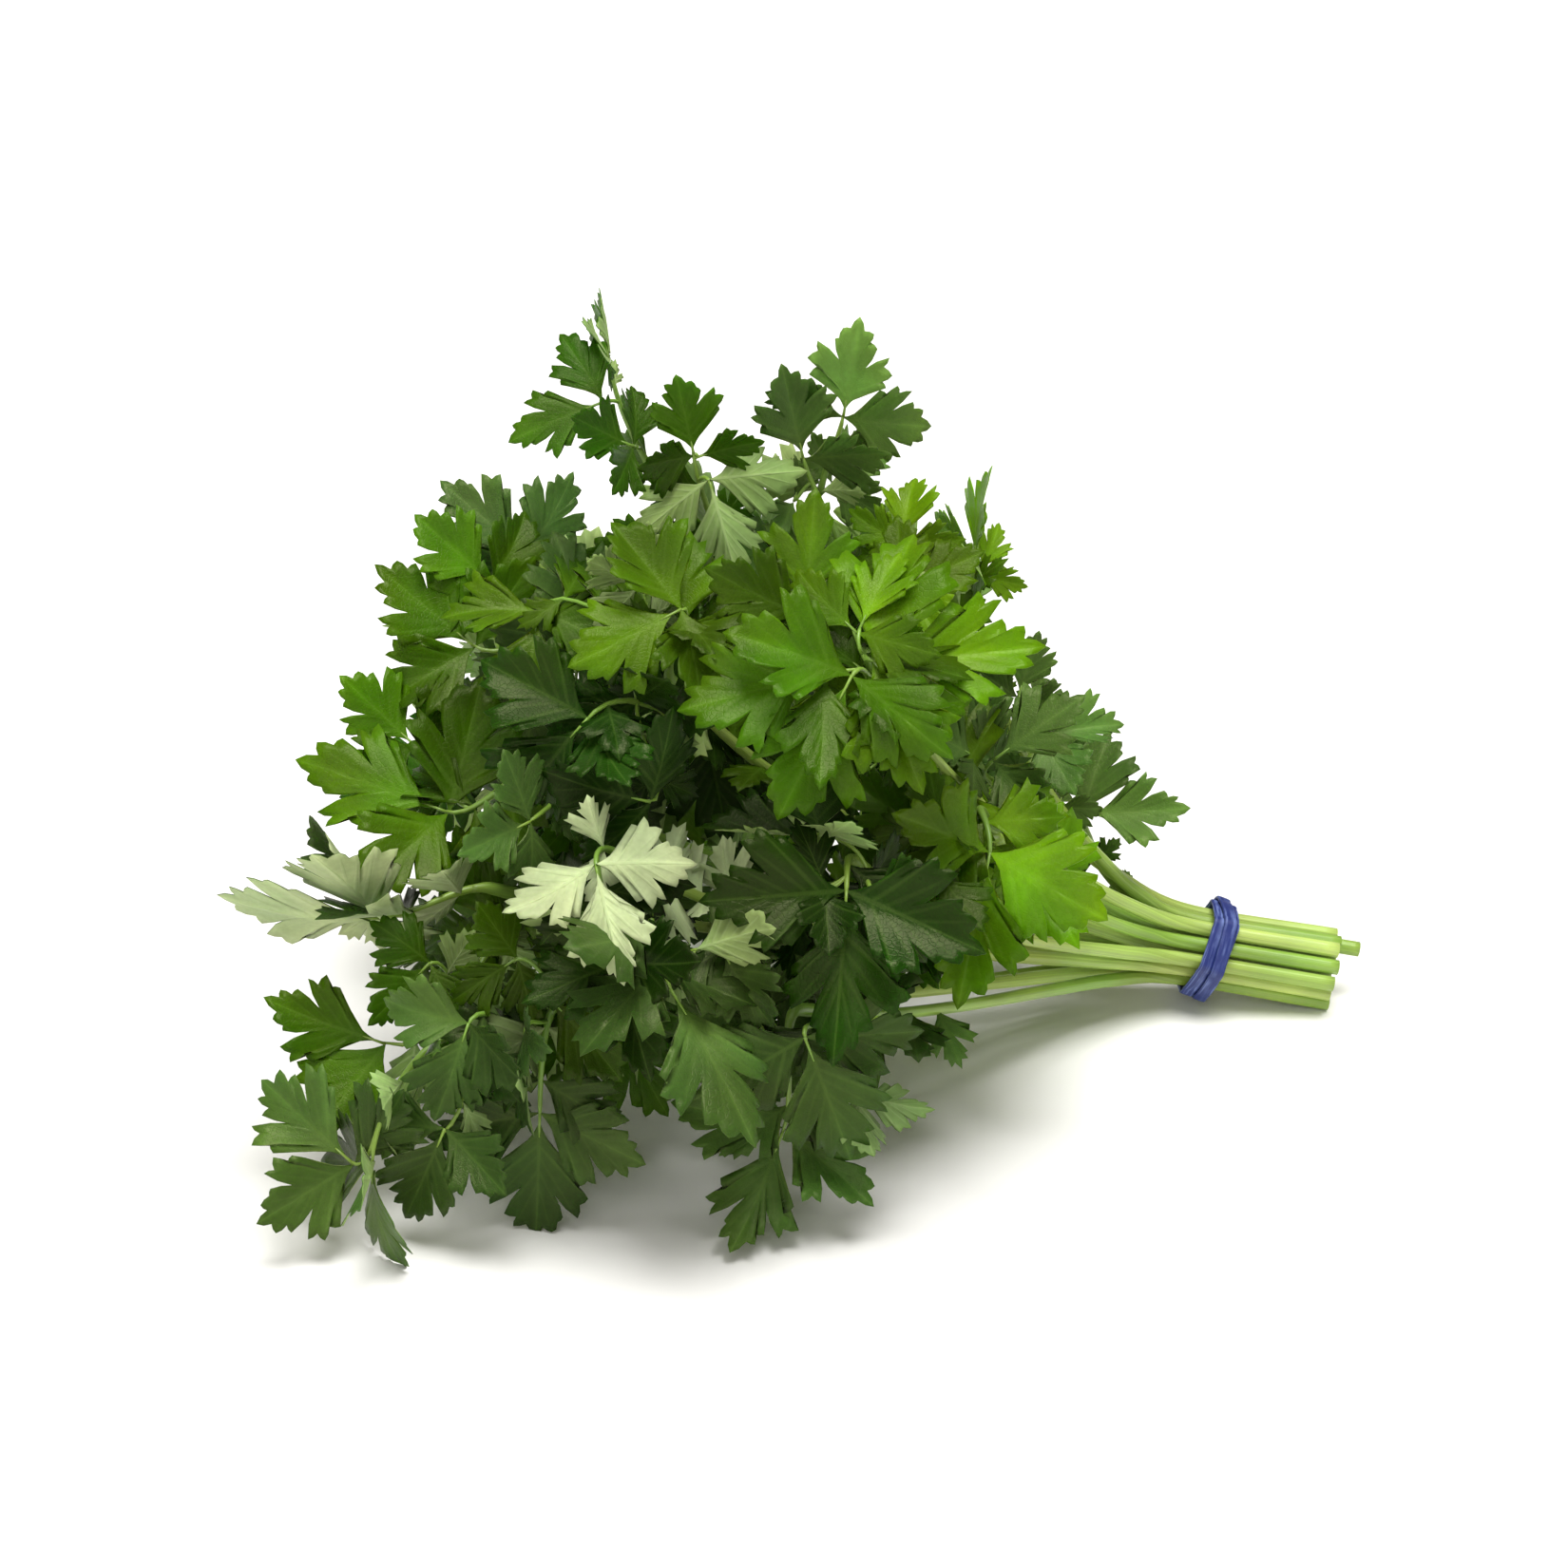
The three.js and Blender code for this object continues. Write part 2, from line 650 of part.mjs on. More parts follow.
// A leaflet turned, and if need be shrunk, so that it touches no other piece and doesn't pass through the
// other leaflets of its spray.
function clearLeaflet(node, leaflet, others) {
  const margin = new THREE.Matrix4().makeTranslation(0, -CLEARANCE, 0);
  for (const shrink of SHRINKS) {
    for (const turn of TURNS) {
      const clear = { ...leaflet, place: turned(leaflet.place, turn), length: leaflet.length * shrink };
      const guard = {
        ...clear,
        place: clear.place.clone().multiply(margin),
        length: clear.length + 2 * CLEARANCE,
        thickness: clear.thickness + 2 * CLEARANCE,
      };
      if (lowest(plate([clear])) < surface - TOUCH || !isClear(plate([guard]), node)) continue;
      if (!crossesItself(plate([...others, clear].sort(bySide)))) return [clear];
    }
  }
  return [];
}

// A spray's solid, of the leaflets that find a clear place, the end leaflet first.
function growSpray(node, one) {
  const [left, end, right] = leafletsOf(one);
  const leaflets = [];
  for (const leaflet of [end, left, right]) leaflets.push(...clearLeaflet(node, leaflet, leaflets));
  return leaflets.length ? [remember(node, plate(leaflets.sort(bySide)))] : [];
}

// ---------------------------------------------------------------- the rubber band

// How far the tied stems reach from the middle of the bundle, in a direction round it: a hexagon with a
// stem at each corner, the first corner at angle 0.
function bundleReach(angle) {
  const sixth = Math.PI / 3;
  const fromCorner = Math.abs(angle - sixth * Math.round(angle / sixth));
  const corner = 2 * STEM_PITCH;
  const side = (corner * Math.cos(sixth / 2) + STEM_RADIUS) / Math.cos(sixth / 2 - fromCorner);
  const beside = corner * Math.sin(fromCorner);
  if (beside >= STEM_RADIUS) return side;
  return Math.min(side, corner * Math.cos(fromCorner) + Math.sqrt(STEM_RADIUS ** 2 - beside ** 2));
}

// One closed loop wound several times round the bundle, flat in section. Its turns wander along the
// bundle and over each other, a third of a cycle apart, so that they cross without touching.
function rubberBand() {
  const onBand = (u, v, target) => {
    const angle = 2 * Math.PI * BAND_TURNS * u;
    const phase = 2 * Math.PI * u;
    const section = 2 * Math.PI * v + Math.PI / 4;
    const across = Math.SQRT1_2 * BAND_WIDTH * Math.sin(section);
    const outwards = Math.SQRT1_2 * BAND_THICKNESS * Math.cos(section);
    const stacked = BAND_GAP + BAND_THICKNESS / 2 + BAND_STACK * (1 + Math.sin(phase));
    const radius = bundleReach(angle) + stacked + outwards;
    const along = BAND_SPREAD * Math.cos(phase) + across;
    target.set(along, radius * Math.cos(angle), radius * Math.sin(angle));
  };
  return new ParametricGeometry(onBand, BAND_TURNS * BAND_STEPS, 4);
}

// ---------------------------------------------------------------- assembly

const stemMaterial = new THREE.MeshStandardMaterial({ color: "#b0c470", roughness: 0.45, metalness: 0 });
const leafMaterial = new THREE.MeshStandardMaterial({ color: "#3f6f16", roughness: 0.5, metalness: 0 });
const bandMaterial = new THREE.MeshStandardMaterial({ color: "#24387c", roughness: 0.6, metalness: 0 });

const bunch = new THREE.Group();
bunch.name = "parsley_bunch";

const label = (index) => String(index + 1).padStart(2, "0");
const places = assignPlaces();

// Stems first, so that every leaf grows round them.
const stems = SPRIGS.map((sprig, index) => {
  const node = "stem_" + label(index);
  const cutLength = CUT_BEYOND_TIE + CUT_STAGGER[index % CUT_STAGGER.length] + (sprig.longer ?? 0);
  for (const bulge of BULGES) {
    const path = stemPath(places[index], V(...sprig.fork), cutLength, bulge);
    const margin = CLEARANCE / 2;
    const guard = stalk(path, STEM_RADIUS + margin, FORK_RADIUS + margin, STEM_SIDES, STEM_STEPS);
    if (isClear(guard, node)) {
      remember(node, guard);
      return { node, path, solid: stalk(path, STEM_RADIUS, FORK_RADIUS, STEM_SIDES, STEM_STEPS) };
    }
  }
  throw new Error(node + " finds no clear way");
});

// The bunch lies on a surface at the height of its lowest cut end.
const surface = Math.min(...stems.map(({ solid }) => lowest(solid)));

// Each stem's first leaf goes on from its fork, and the second leaves it just below.
const leaves = stems.flatMap(({ path }, index) => {
  const { first, second } = SPRIGS[index];
  const heading = path.getTangent(1);
  const onward = path.getPoint(1).addScaledVector(heading, CLEARANCE);
  const below = path.getPoint(SECOND_LEAF_START);
  const aside = second[0].base.clone().sub(below);
  aside.addScaledVector(heading, -aside.dot(heading)).normalize();
  const beside = below.addScaledVector(aside, FORK_RADIUS + RACHIS_RADIUS + 2 * CLEARANCE);
  const outwards = aside.clone().add(heading).normalize();
  return [
    { node: "leaf_" + label(index) + "a", start: onward, heading, sprays: first },
    { node: "leaf_" + label(index) + "b", start: beside, heading: outwards, sprays: second },
  ];
});

// All the stalks grow before the leaflets, which turn a little where they would touch.
for (const leaf of leaves) leaf.solids = growStalks(leaf.node, leaf.start, leaf.heading, leaf.sprays);
for (const leaf of leaves) leaf.solids.push(...leaf.sprays.flatMap((one) => growSpray(leaf.node, one)));

function addPiece(name, geometry, material) {
  const piece = new THREE.Mesh(geometry, material);
  piece.name = name;
  bunch.add(piece);
  return piece;
}

for (const { node, solid } of stems) addPiece(node, geometryFrom(solid), stemMaterial);
for (const { node, solids } of leaves) {
  addPiece(node, geometryFrom(solids.reduce((joined, next) => joined.add(next))), leafMaterial);
}
const band = addPiece("rubber_band", rubberBand(), bandMaterial);
band.position.copy(TIE_CENTRE);
band.rotation.y = BUNDLE_SLOPE + BAND_TILT;

// The part's origin is the middle of its footprint, on the surface that it lies on.
const extent = new THREE.Box3().setFromObject(bunch);
const centre = extent.getCenter(V(0, 0, 0));
bunch.position.set(-centre.x, -centre.y, -extent.min.z);

export default bunch;
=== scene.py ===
import math

import bmesh
import bpy
import numpy as np
from numpy.linalg import norm, svd
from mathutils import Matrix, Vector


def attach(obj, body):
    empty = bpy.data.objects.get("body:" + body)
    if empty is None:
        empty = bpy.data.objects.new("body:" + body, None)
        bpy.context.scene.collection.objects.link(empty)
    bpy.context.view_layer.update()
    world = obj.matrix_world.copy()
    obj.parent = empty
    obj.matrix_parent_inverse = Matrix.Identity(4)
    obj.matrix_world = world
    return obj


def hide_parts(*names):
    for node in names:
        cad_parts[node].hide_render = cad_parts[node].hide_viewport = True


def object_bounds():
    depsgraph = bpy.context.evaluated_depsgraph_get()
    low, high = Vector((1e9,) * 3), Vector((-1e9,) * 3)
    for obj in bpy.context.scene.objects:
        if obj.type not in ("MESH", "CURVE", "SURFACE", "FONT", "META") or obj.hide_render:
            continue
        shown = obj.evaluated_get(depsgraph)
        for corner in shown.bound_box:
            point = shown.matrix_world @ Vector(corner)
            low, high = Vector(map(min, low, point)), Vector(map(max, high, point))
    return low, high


bl_info = {
    "name": "Parsley Bunch",
    "version": (1, 0, 0),
    "blender": (4, 5, 0),
    "location": "3D Viewport > Sidebar > Parsley",
    "description": "Gives a bunch of parsley its ribbed stems, toothed leaflets and rubber band",
    "category": "Object",
}

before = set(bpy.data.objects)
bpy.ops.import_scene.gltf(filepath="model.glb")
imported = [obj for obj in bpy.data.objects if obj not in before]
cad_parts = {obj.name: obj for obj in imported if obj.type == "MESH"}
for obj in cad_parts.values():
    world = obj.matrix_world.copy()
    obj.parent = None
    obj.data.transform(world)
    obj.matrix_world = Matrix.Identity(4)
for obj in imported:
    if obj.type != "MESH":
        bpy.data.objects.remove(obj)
FRAME_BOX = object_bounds()
BODY = "root"
MM = 0.001

STEMS = sorted(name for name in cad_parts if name.startswith("stem_"))
LEAVES = sorted(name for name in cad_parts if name.startswith("leaf_"))
BAND = "rubber_band"

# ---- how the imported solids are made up

RING_CORNERS = 8  # a stem's corners at each step of its path
SECOND_LEAF_START = 0.96  # of a stem's path, where its second leaf leaves it
LEAF_GAP = 0.35 * MM  # from a stem to its leaf
ASIDE = 2.7 * MM  # from a stem's middle to the start of its second leaf
STALK_BEND = 0.32  # of a stalk's reach is bent by either turn
STALK_GRIP = 1 * MM  # a stalk reaches this far into its spray
BRANCH_STARTS = (0.25, 0.5, 0.75)  # along the leaf's own stalk
BRANCH_LEAN = 0.5  # how far a branch sets off along that stalk
RACHIS_RADIUS = 0.95 * MM
BRANCH_RADIUS = 0.4 * MM
SHEATH = 8 * MM  # a stalk's sheath starts this far down the stem
SHEATH_ENDS = (0.03, 0.1, 0.2)  # along the stalk
SHEATH_RADII = np.array((1.1, 1.45, 1.3, 1.02, 0.8)) * MM
TIP_EDGE = 0.4 * MM  # the plates' thickness at a leaflet's tip
TIP_REACH = 0.34  # of a leaflet's length, from the notches beside its tip lobe to the tip
NOTCH_GAP = 0.44  # of a leaflet's length, between these notches
NOTCH_SLACK = 0.03  # of it, past which they are no leaflet's
SQUARE = 0.1  # least cosine that isn't taken for a right angle
SAME_PLACE = 0.3 * MM

# ---- a leaflet's outline

# One half of a leaflet of length 1, from its base to its tip: across, along, and how far up the midrib the
# vein that ends there leaves it. Wedge-shaped below, then the side lobe's three teeth, the deep notch, and
# the middle lobe's teeth. The narrow form is deeply cut, the broad one shallowly.
NARROW = (
    (0.000, 0.000, 0.00), (0.030, 0.120, 0.01), (0.120, 0.300, 0.06), (0.330, 0.450, 0.12),
    (0.282, 0.525, 0.15), (0.395, 0.620, 0.20), (0.305, 0.640, 0.23), (0.300, 0.735, 0.27),
    (0.092, 0.530, 0.31), (0.175, 0.765, 0.37), (0.118, 0.795, 0.42), (0.132, 0.905, 0.48),
    (0.060, 0.885, 0.52), (0.000, 1.020, 0.58),
)
BROAD = (
    (0.000, 0.000, 0.00), (0.060, 0.100, 0.01), (0.225, 0.270, 0.05), (0.415, 0.405, 0.10),
    (0.374, 0.490, 0.14), (0.475, 0.590, 0.19), (0.385, 0.640, 0.23), (0.395, 0.760, 0.28),
    (0.155, 0.590, 0.34), (0.262, 0.800, 0.42), (0.190, 0.825, 0.47), (0.168, 0.945, 0.53),
    (0.083, 0.925, 0.57), (0.000, 1.060, 0.62),
)
# Teeth are counted 0, 1, 2 ... at their tips and halfway between at the notches.
TOOTH = (-0.5, -0.5, -0.5, 0, 0.5, 1, 1.5, 2, 2.5, 3, 3.5, 4, 4.5, 5)
# How far the margin swells out between two of these points, as a share of their distance.
SWELL = (0.0, -0.03, 0.05, 0.11, 0.10, 0.11, 0.10, 0.05, 0.05, 0.11, 0.10, 0.11, 0.10)
FINE_ROWS = (0, 0.22, 0.5, 0.8, 1)  # from the midrib to the margin
SMALL_ROWS = (0, 0.5, 1)

# ---- how leaflets differ

# Each is drawn between the two values, unless it says otherwise.
UNEVEN = 0.011  # spread of the outline's points, as a share of the leaflet's length
WIDTHS = (0.88, 1.14)  # of either half
SIDE_LOBES = (0.93, 1.05)  # how far up the side lobe's points lie
FOLDS = (-0.3, 1.7)  # times the settings' fold
BENDS = (-0.8, 1.9)  # times the settings' bend
TWISTS = (-0.35, 0.35)  # radians from base to tip
# The blade's waves: their height as a share of the settings' wave, the two values between which it is
# multiplied, and how far the sine turns in a radian round the base, or from tooth to tooth.
LOBE_WAVE = (1.3, 0.5, 1.6, 4.5)
RIPPLE = (0.5, -1, 1, 10)
TOOTH_WAVE = (0.2, -1, 1, 1.9)
FOLD_WIDTH, GROOVE_WIDTH = 0.05, 0.035  # of the midrib's trough, and of the groove in it
WAVE_CENTRE = 0.15  # below the base, where the lobes' directions meet
MARGIN_THINNER, TIP_RIB_THINNER = 0.45, 0.85  # what the blade loses to the margin, the midrib to the tip
LEAST_BEND = 0.02  # of an arc, in radians
EASE = 1.5 * MM  # points lower than this are drawn up from the floor

# ---- how leaves differ

STEM_SEED, LEAF_SEED = 100, 500
# The leaves whose green is set. The others draw theirs.
BRIGHT_LEAVES = ("leaf_03a", "leaf_04a", "leaf_04b", "leaf_07a")
FRESH_LEAVES = ("leaf_03b", "leaf_14a", "leaf_16a")
# Leaves with painted sheen: the grey green is mixed into theirs.
PAINTED_SHEEN_LEAVES = (
    "leaf_02a", "leaf_02b", "leaf_05a", "leaf_05b", "leaf_09a",
    "leaf_10b", "leaf_12a", "leaf_12b", "leaf_14b",
)
DARK_LEAVES = ("leaf_08a", "leaf_08b", "leaf_16b", "leaf_17b")
PALE_LEAVES = ("leaf_10a", "leaf_13a")  # with the palest undersides
PALENESS = (0.3, 0.7)  # of an underside, from the upper side's colour to the settings' own
PALEST = 0.95
LEAFLET_TINTS = (0.68, 1.32)  # times their leaf's own green
LEAF_STALK_TINTS, STALK_TINTS = (0.88, 1.12), (0.9, 1.1)
NARROW_SIDES, NARROW_MIDDLES = (0, 0.9), (0.1, 1)  # 0 broad to 1 narrow
LEAFLET_SPAN, MIDDLE_SPAN = 1.04, 0.93  # of a leaflet in the solid, and a middle one's share of that
MIDDLE_START = 0.08  # up its length, where a spray's middle leaflet starts
NECK_RADII = (0.35 * MM, 0.2 * MM)  # of the little stalk under it
NECK_TOP = 0.2  # up its length
PAIR_SIZES = (0.75, 1.2)  # times the settings' share
PAIR_LEANS = (0.3, 0.8)  # how far small leaflets lean up their stalk
SMALL_TURN, SMALL_SWING = 0.3, 0.15  # spread of their faces and of their directions
SMALL_CLEAR = 0.3  # of its length, that a small leaflet's tip is above the floor
STEM_PAIRS_END = 0.97  # of a stem's path
UPPER, UNDER, STALK = 0, 1, 2  # a leaf's finishes, in their order on the piece
SKIN, CUT = 0, 1  # a stem's

# Painted shade: how much the leaflets' colour is darkened for the leaflets round them.
LEAFLET_AREA = 0.4  # of its length squared
ITSELF = 4 * MM  # one nearer than this is the same leaflet
CLOSEST = 3 * MM  # no distance counts as less
FROM_ABOVE = 0.4  # how much more the cover above counts than that below
LIGHTEST = -0.1  # of covered - open sky, below which nothing gets lighter

# ---- how the band and the stage are made up

BAND_STEPS = 72  # in each turn
BAND_CORNERS = 24
BAND_ROUNDING = 0.45  # power of the strand's section: 1 an ellipse, 0 a square
KEY_LEAN, FILL_LEAN = (6, 5), (58, -25)  # degrees that a light comes from the front, and from the right


# ---- settings

def colour(name, description, default):
    return bpy.props.FloatVectorProperty(
        name=name, description=description, default=default, subtype="COLOR", size=3, min=0, max=1
    )


def length(name, description, default_mm):
    return bpy.props.FloatProperty(
        name=name, description=description, default=default_mm * MM, subtype="DISTANCE", unit="LENGTH", min=0
    )


def share(name, description, default, top=1.0):
    return bpy.props.FloatProperty(
        name=name, description=description, default=default, subtype="FACTOR", min=0, max=top
    )


def angle(name, description, degrees):
    return bpy.props.FloatProperty(
        name=name, description=description, default=math.radians(degrees), subtype="ANGLE", unit="ROTATION"
    )


def count(name, description, default, least):
    return bpy.props.IntProperty(name=name, description=description, default=default, min=least)


def plain(name, description, default, least=0):
    return bpy.props.FloatProperty(name=name, description=description, default=default, min=least)


class StemSettings(bpy.types.PropertyGroup):
    ribs: count("Ribs", "Ridges round a stem", 9, 3)
    rib_height: share("Rib height", "Height of a ridge as a share of the stem's radius", 0.05)
    sides: count("Sides", "Corners round a stem", 36, 12)
    steps: count("Steps", "Steps along a stem", 56, 10)
    taper: length("Taper", "How far below the fork a stem starts to narrow", 12)
    fork: colour("Fork", "Colour of the stems where they fork", (0.20, 0.34, 0.045))
    light: colour("Light stem", "Colour of the palest stems", (0.50, 0.61, 0.15))
    green: colour("Green stem", "Colour of the greenest stems", (0.23, 0.37, 0.05))
    pith: colour("Pith", "Colour of the cut ends' middle", (0.62, 0.68, 0.42))
    fibre: colour("Fibre", "Colour of the bundles of fibre in it", (0.30, 0.40, 0.12))
    tip: length("Tip", "A stem's radius at the fork", 1)


class LeafSettings(bpy.types.PropertyGroup):
    thickness: length("Thickness", "Of a leaflet at its midrib", 0.3)
    rib: length("Midrib height", "How far the midrib stands out underneath", 0.3)
    fold: share("Fold", "How strongly a leaflet folds along its midrib", 0.3)
    wave: share("Wave", "How strongly its lobes rise and fall", 0.055)
    quilt: share("Quilt", "How far it bulges between its veins", 0.002)
    groove: share("Groove", "How deep the upper side is grooved along the midrib", 0.01)
    bend: angle("Bend", "How far a leaflet bends back to its tip", 24)
    bright: colour("Bright leaf", "Colour of the young bright leaves", (0.172, 0.350, 0.004))
    mid: colour("Mid leaf", "Colour of most leaves", (0.062, 0.158, 0.003))
    dark: colour("Dark leaf", "Colour of the darkest leaves", (0.021, 0.066, 0.005))
    # Painted sheen: a grey-green that stands in for the whitish sheen of light on some leaves.
    grey: colour("Grey leaf", "Colour of the leaves with a grey bloom", (0.155, 0.245, 0.07))
    under: colour("Underside", "Colour of most undersides, mixed with the upper side's", (0.42, 0.56, 0.18))
    palest: colour("Palest underside", "Colour of the palest undersides", (0.48, 0.56, 0.28))
    vein: colour("Vein", "Colour of the veins", (0.20, 0.33, 0.06))
    under_vein: colour("Vein underneath", "Colour of the veins underneath", (0.42, 0.52, 0.24))
    stalk: colour("Stalk", "Colour of the leaf stalks", (0.20, 0.34, 0.045))
    gloss: share("Gloss", "How strongly the upper sides shine", 0.16)
    gloss_colour: colour("Gloss colour", "Colour of that shine", (1.0, 1.0, 0.55))
    pair_step: length("Pair step", "Between pairs of small leaflets along a stalk", 9)
    pair_size: share("Pair size", "Of a small leaflet, as a share of the spray's middle one", 0.66)
    pair_room: length("Pair room", "From a small leaflet to the others at least", 4)
    turned: share("Turned", "How many of the small leaflets show their undersides", 0.15)
    stem_share: share("Share of the stem", "How much of a stem carries small leaflets below the fork", 0.35)
    # Painted shade: how much darker the colour of the leaflets inside the bunch is made, and the cover below
    # which it is made lighter.
    shade: share("Shade", "How much darker the leaflets inside the bunch are", 2.7, 5)
    open_sky: share("Open sky", "Cover over the outermost leaflets, as a share of all directions", 0.3)


class BandSettings(bpy.types.PropertyGroup):
    turns: count("Turns", "Times it is wound round", 3, 1)
    width: length("Width", "Of the band's strand", 2.9)
    thickness: length("Thickness", "Of the band's strand", 0.8)
    spread: length("Spread", "How far the turns wander to either side", 1.8)
    stack: length("Stack", "How far the turns climb on each other", 0.72)
    gap: length("Gap", "From the stems to the lowest turn", 0.45)
    colour: colour("Colour", "Of the rubber", (0.010, 0.022, 0.15))
    # Partly painted highlight: its paler streaks stand in for light on the strands as well as dust.
    dust: colour("Dust", "Colour of its rubbed, dusty places", (0.20, 0.27, 0.58))


class StageSettings(bpy.types.PropertyGroup):
    floor: colour("Floor", "Colour of the floor", (0.94, 0.925, 0.895))
    lens: plain("Lens", "Focal length in millimetres", 90, 20)
    distance: length("Distance", "From the camera to what it looks at", 825)
    elevation: angle("Elevation", "The camera's height above the horizon", 24)
    aim_aside: length("Aim aside", "From the footprint's middle to what the camera looks at, leftwards", 7.9)
    aim_back: length("Aim back", "The same, backwards", 5.48)
    aim_height: length("Aim height", "The same, upwards", 62)
    sky: share("Sky", "Strength of the even light all round", 0.2, 4)
    sky_colour: colour("Sky colour", "Colour of the even light all round", (1.0, 0.95, 0.86))
    key: plain("Key light", "Strength of the light above", 3.9)
    fill: plain("Fill light", "Strength of the front light", 0.75)
    softness: angle("Softness", "How wide the lights are, seen from the bunch", 40)
    reach: length("Reach", "From the floor's middle to its edges", 8000)


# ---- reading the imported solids

def unit(vectors):
    """Each vector over its length."""
    return vectors / norm(vectors, axis=-1, keepdims=True)


def run_along(points):
    """How far along a path each of its points is."""
    return np.concatenate([[0], np.cumsum(norm(np.diff(points, axis=0), axis=1))])


def corners_of(node):
    """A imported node's corners, merged where they coincide, and its triangles."""
    work = bmesh.new()
    work.from_mesh(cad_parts[node].data)
    bmesh.ops.remove_doubles(work, verts=work.verts, dist=0.01 * MM)
    bmesh.ops.triangulate(work, faces=work.faces)
    mesh = bpy.data.meshes.new("merged")
    work.to_mesh(mesh)
    work.free()
    points = np.empty(len(mesh.vertices) * 3)
    mesh.vertices.foreach_get("co", points)
    triangles = np.empty(len(mesh.polygons) * 3, int)
    mesh.polygons.foreach_get("vertices", triangles)
    bpy.data.meshes.remove(mesh)
    return points.reshape(-1, 3), triangles.reshape(-1, 3)


def stem_rings(node):
    """A stem's rings of corners, from the cut end to the fork. The cut end has the corner furthest along
    +X, and each next ring holds the corners nearest to the middle of the last."""
    left, _ = corners_of(node)
    if len(left) % RING_CORNERS:
        raise ValueError(f"{node} has {len(left)} corners, not whole rings of {RING_CORNERS}")
    here, rings = left[left[:, 0].argmax()], []
    while len(left):
        order = np.argsort(norm(left - here, axis=1))
        rings.append(left[order[:RING_CORNERS]])
        left, here = left[order[RING_CORNERS:]], rings[-1].mean(0)
    return np.array(rings)


def ring_axis(ring, towards):
    """The unit normal of a flat ring of corners, on the side of a direction."""
    normal = svd(ring - ring.mean(0))[2][-1]
    return normal * np.sign(normal @ towards)


def leaflets_of(points, triangles):
    """Where each leaflet of a leaf lies. A leaflet's tip is an edge of the plates' thickness there. The
    corners across the two triangles on that edge, with their partners through the plate, are the notches
    beside the tip. The upper side is the one whose notches are wider apart.
    Returns the bases, the directions along and out of the upper side, and the lengths."""
    sides = triangles[:, [[0, 1], [1, 2], [2, 0]]].reshape(-1, 2)
    across = triangles[:, [2, 0, 1]].reshape(-1)
    lengths = norm(points[sides[:, 0]] - points[sides[:, 1]], axis=1)
    short = np.abs(lengths - TIP_EDGE) < TIP_EDGE / 20
    tips = np.sort(sides[short], axis=1)
    pairs, which, uses = np.unique(tips, axis=0, return_inverse=True, return_counts=True)
    order = np.argsort(which.ravel(), kind="stable")
    order = order[uses[which.ravel()[order]] == 2]
    pairs, notch = pairs[uses == 2], points[across[short][order].reshape(-1, 2)]
    gaps = norm(notch[:, :, None] - points, axis=-1)
    partner = points[np.argsort(gaps, axis=-1)[..., 1]]
    first, second = points[pairs[:, 0]], points[pairs[:, 1]]
    with_first = ((notch - partner) * (first - second)[:, None]).sum(-1, keepdims=True) > 0
    by_first, by_second = np.where(with_first, notch, partner), np.where(with_first, partner, notch)
    wide_first = norm(by_first[:, 0] - by_first[:, 1], axis=1)
    wide_second = norm(by_second[:, 0] - by_second[:, 1], axis=1)
    out = unit(np.where((wide_first > wide_second)[:, None], first - second, second - first))
    tip, middle = (first + second) / 2, (by_first.sum(1) + by_second.sum(1)) / 4
    reach = norm(tip - middle, axis=1)
    along, size = (tip - middle) / reach[:, None], reach / TIP_REACH
    wide = np.maximum(wide_first, wide_second) / size
    real = (np.abs(wide - NOTCH_GAP) < NOTCH_SLACK) & (np.abs((along * out).sum(1)) < SQUARE)
    return (tip - size[:, None] * along)[real], along[real], out[real], size[real]


def sprays_of(bases, along, sizes):
    """Leaflets that share a base are one spray: [(base, direction of the middle leaflet, its index)]. The
    middle one is the one nearest to their common direction, or the longest of two."""
    sprays, left = [], list(range(len(bases)))
    while left:
        group = [i for i in left if norm(bases[i] - bases[left[0]]) < SAME_PLACE]
        left = [i for i in left if i not in group]
        common = along[group].sum(0)
        middle = group[int(np.argmax(along[group] @ common if len(group) == 3 else sizes[group]))]
        sprays.append((bases[group].mean(0), along[middle], middle))
    return sprays


# ---- paths

def bezier(ends, t):
    """A cubic curve through four points, the first and last of which it meets."""
    t = np.asarray(t)[:, None]
    a, b, c, d = ends
    return (1 - t) ** 3 * a + 3 * (1 - t) ** 2 * t * b + 3 * (1 - t) * t**2 * c + t**3 * d


def evenly(points, shares):
    """Points at the given shares of a path's length."""
    run = run_along(points)
    return np.stack([np.interp(np.asarray(shares) * run[-1], run, points[:, k]) for k in range(3)], axis=1)


def smooth_path(knots, steps):
    """A Catmull-Rom curve: each span is a cubic whose slope at a knot runs between the knots beside it."""
    padded = np.concatenate([[2 * knots[0] - knots[1]], knots, [2 * knots[-1] - knots[-2]]])
    at = np.linspace(0, len(knots) - 1, steps * 4)
    k = np.minimum(at.astype(int), len(knots) - 2)
    t = (at - k)[:, None]
    a, b, c, d = (padded[k + i] for i in range(4))
    curve = b + 0.5 * ((c - a) * t + (2 * a - 5 * b + 4 * c - d) * t**2 + (3 * b - a - 3 * c + d) * t**3)
    return evenly(curve, np.linspace(0, 1, steps + 1))


SIDESTEPS = np.array([(0, 0, 0)] + [
    np.multiply(way, size) for size in (3, 6, 10, 15)
    for way in ((0, 0, 1), (0, -1, 0), (0, 1, 0), (-1, 0, 0), (0, 0, -1), (1, 0, 0))
]) * MM


def stalk_ends(start, heading, base, arrival, sidestep):
    """A stalk's cubic: its middle points lie a share of the reach along the way out and back from the way
    in, both moved by the sidestep."""
    reach = norm(base - start)
    return (start, start + heading * STALK_BEND * reach + sidestep,
            base - arrival * STALK_BEND * reach + sidestep, base + arrival * STALK_GRIP)


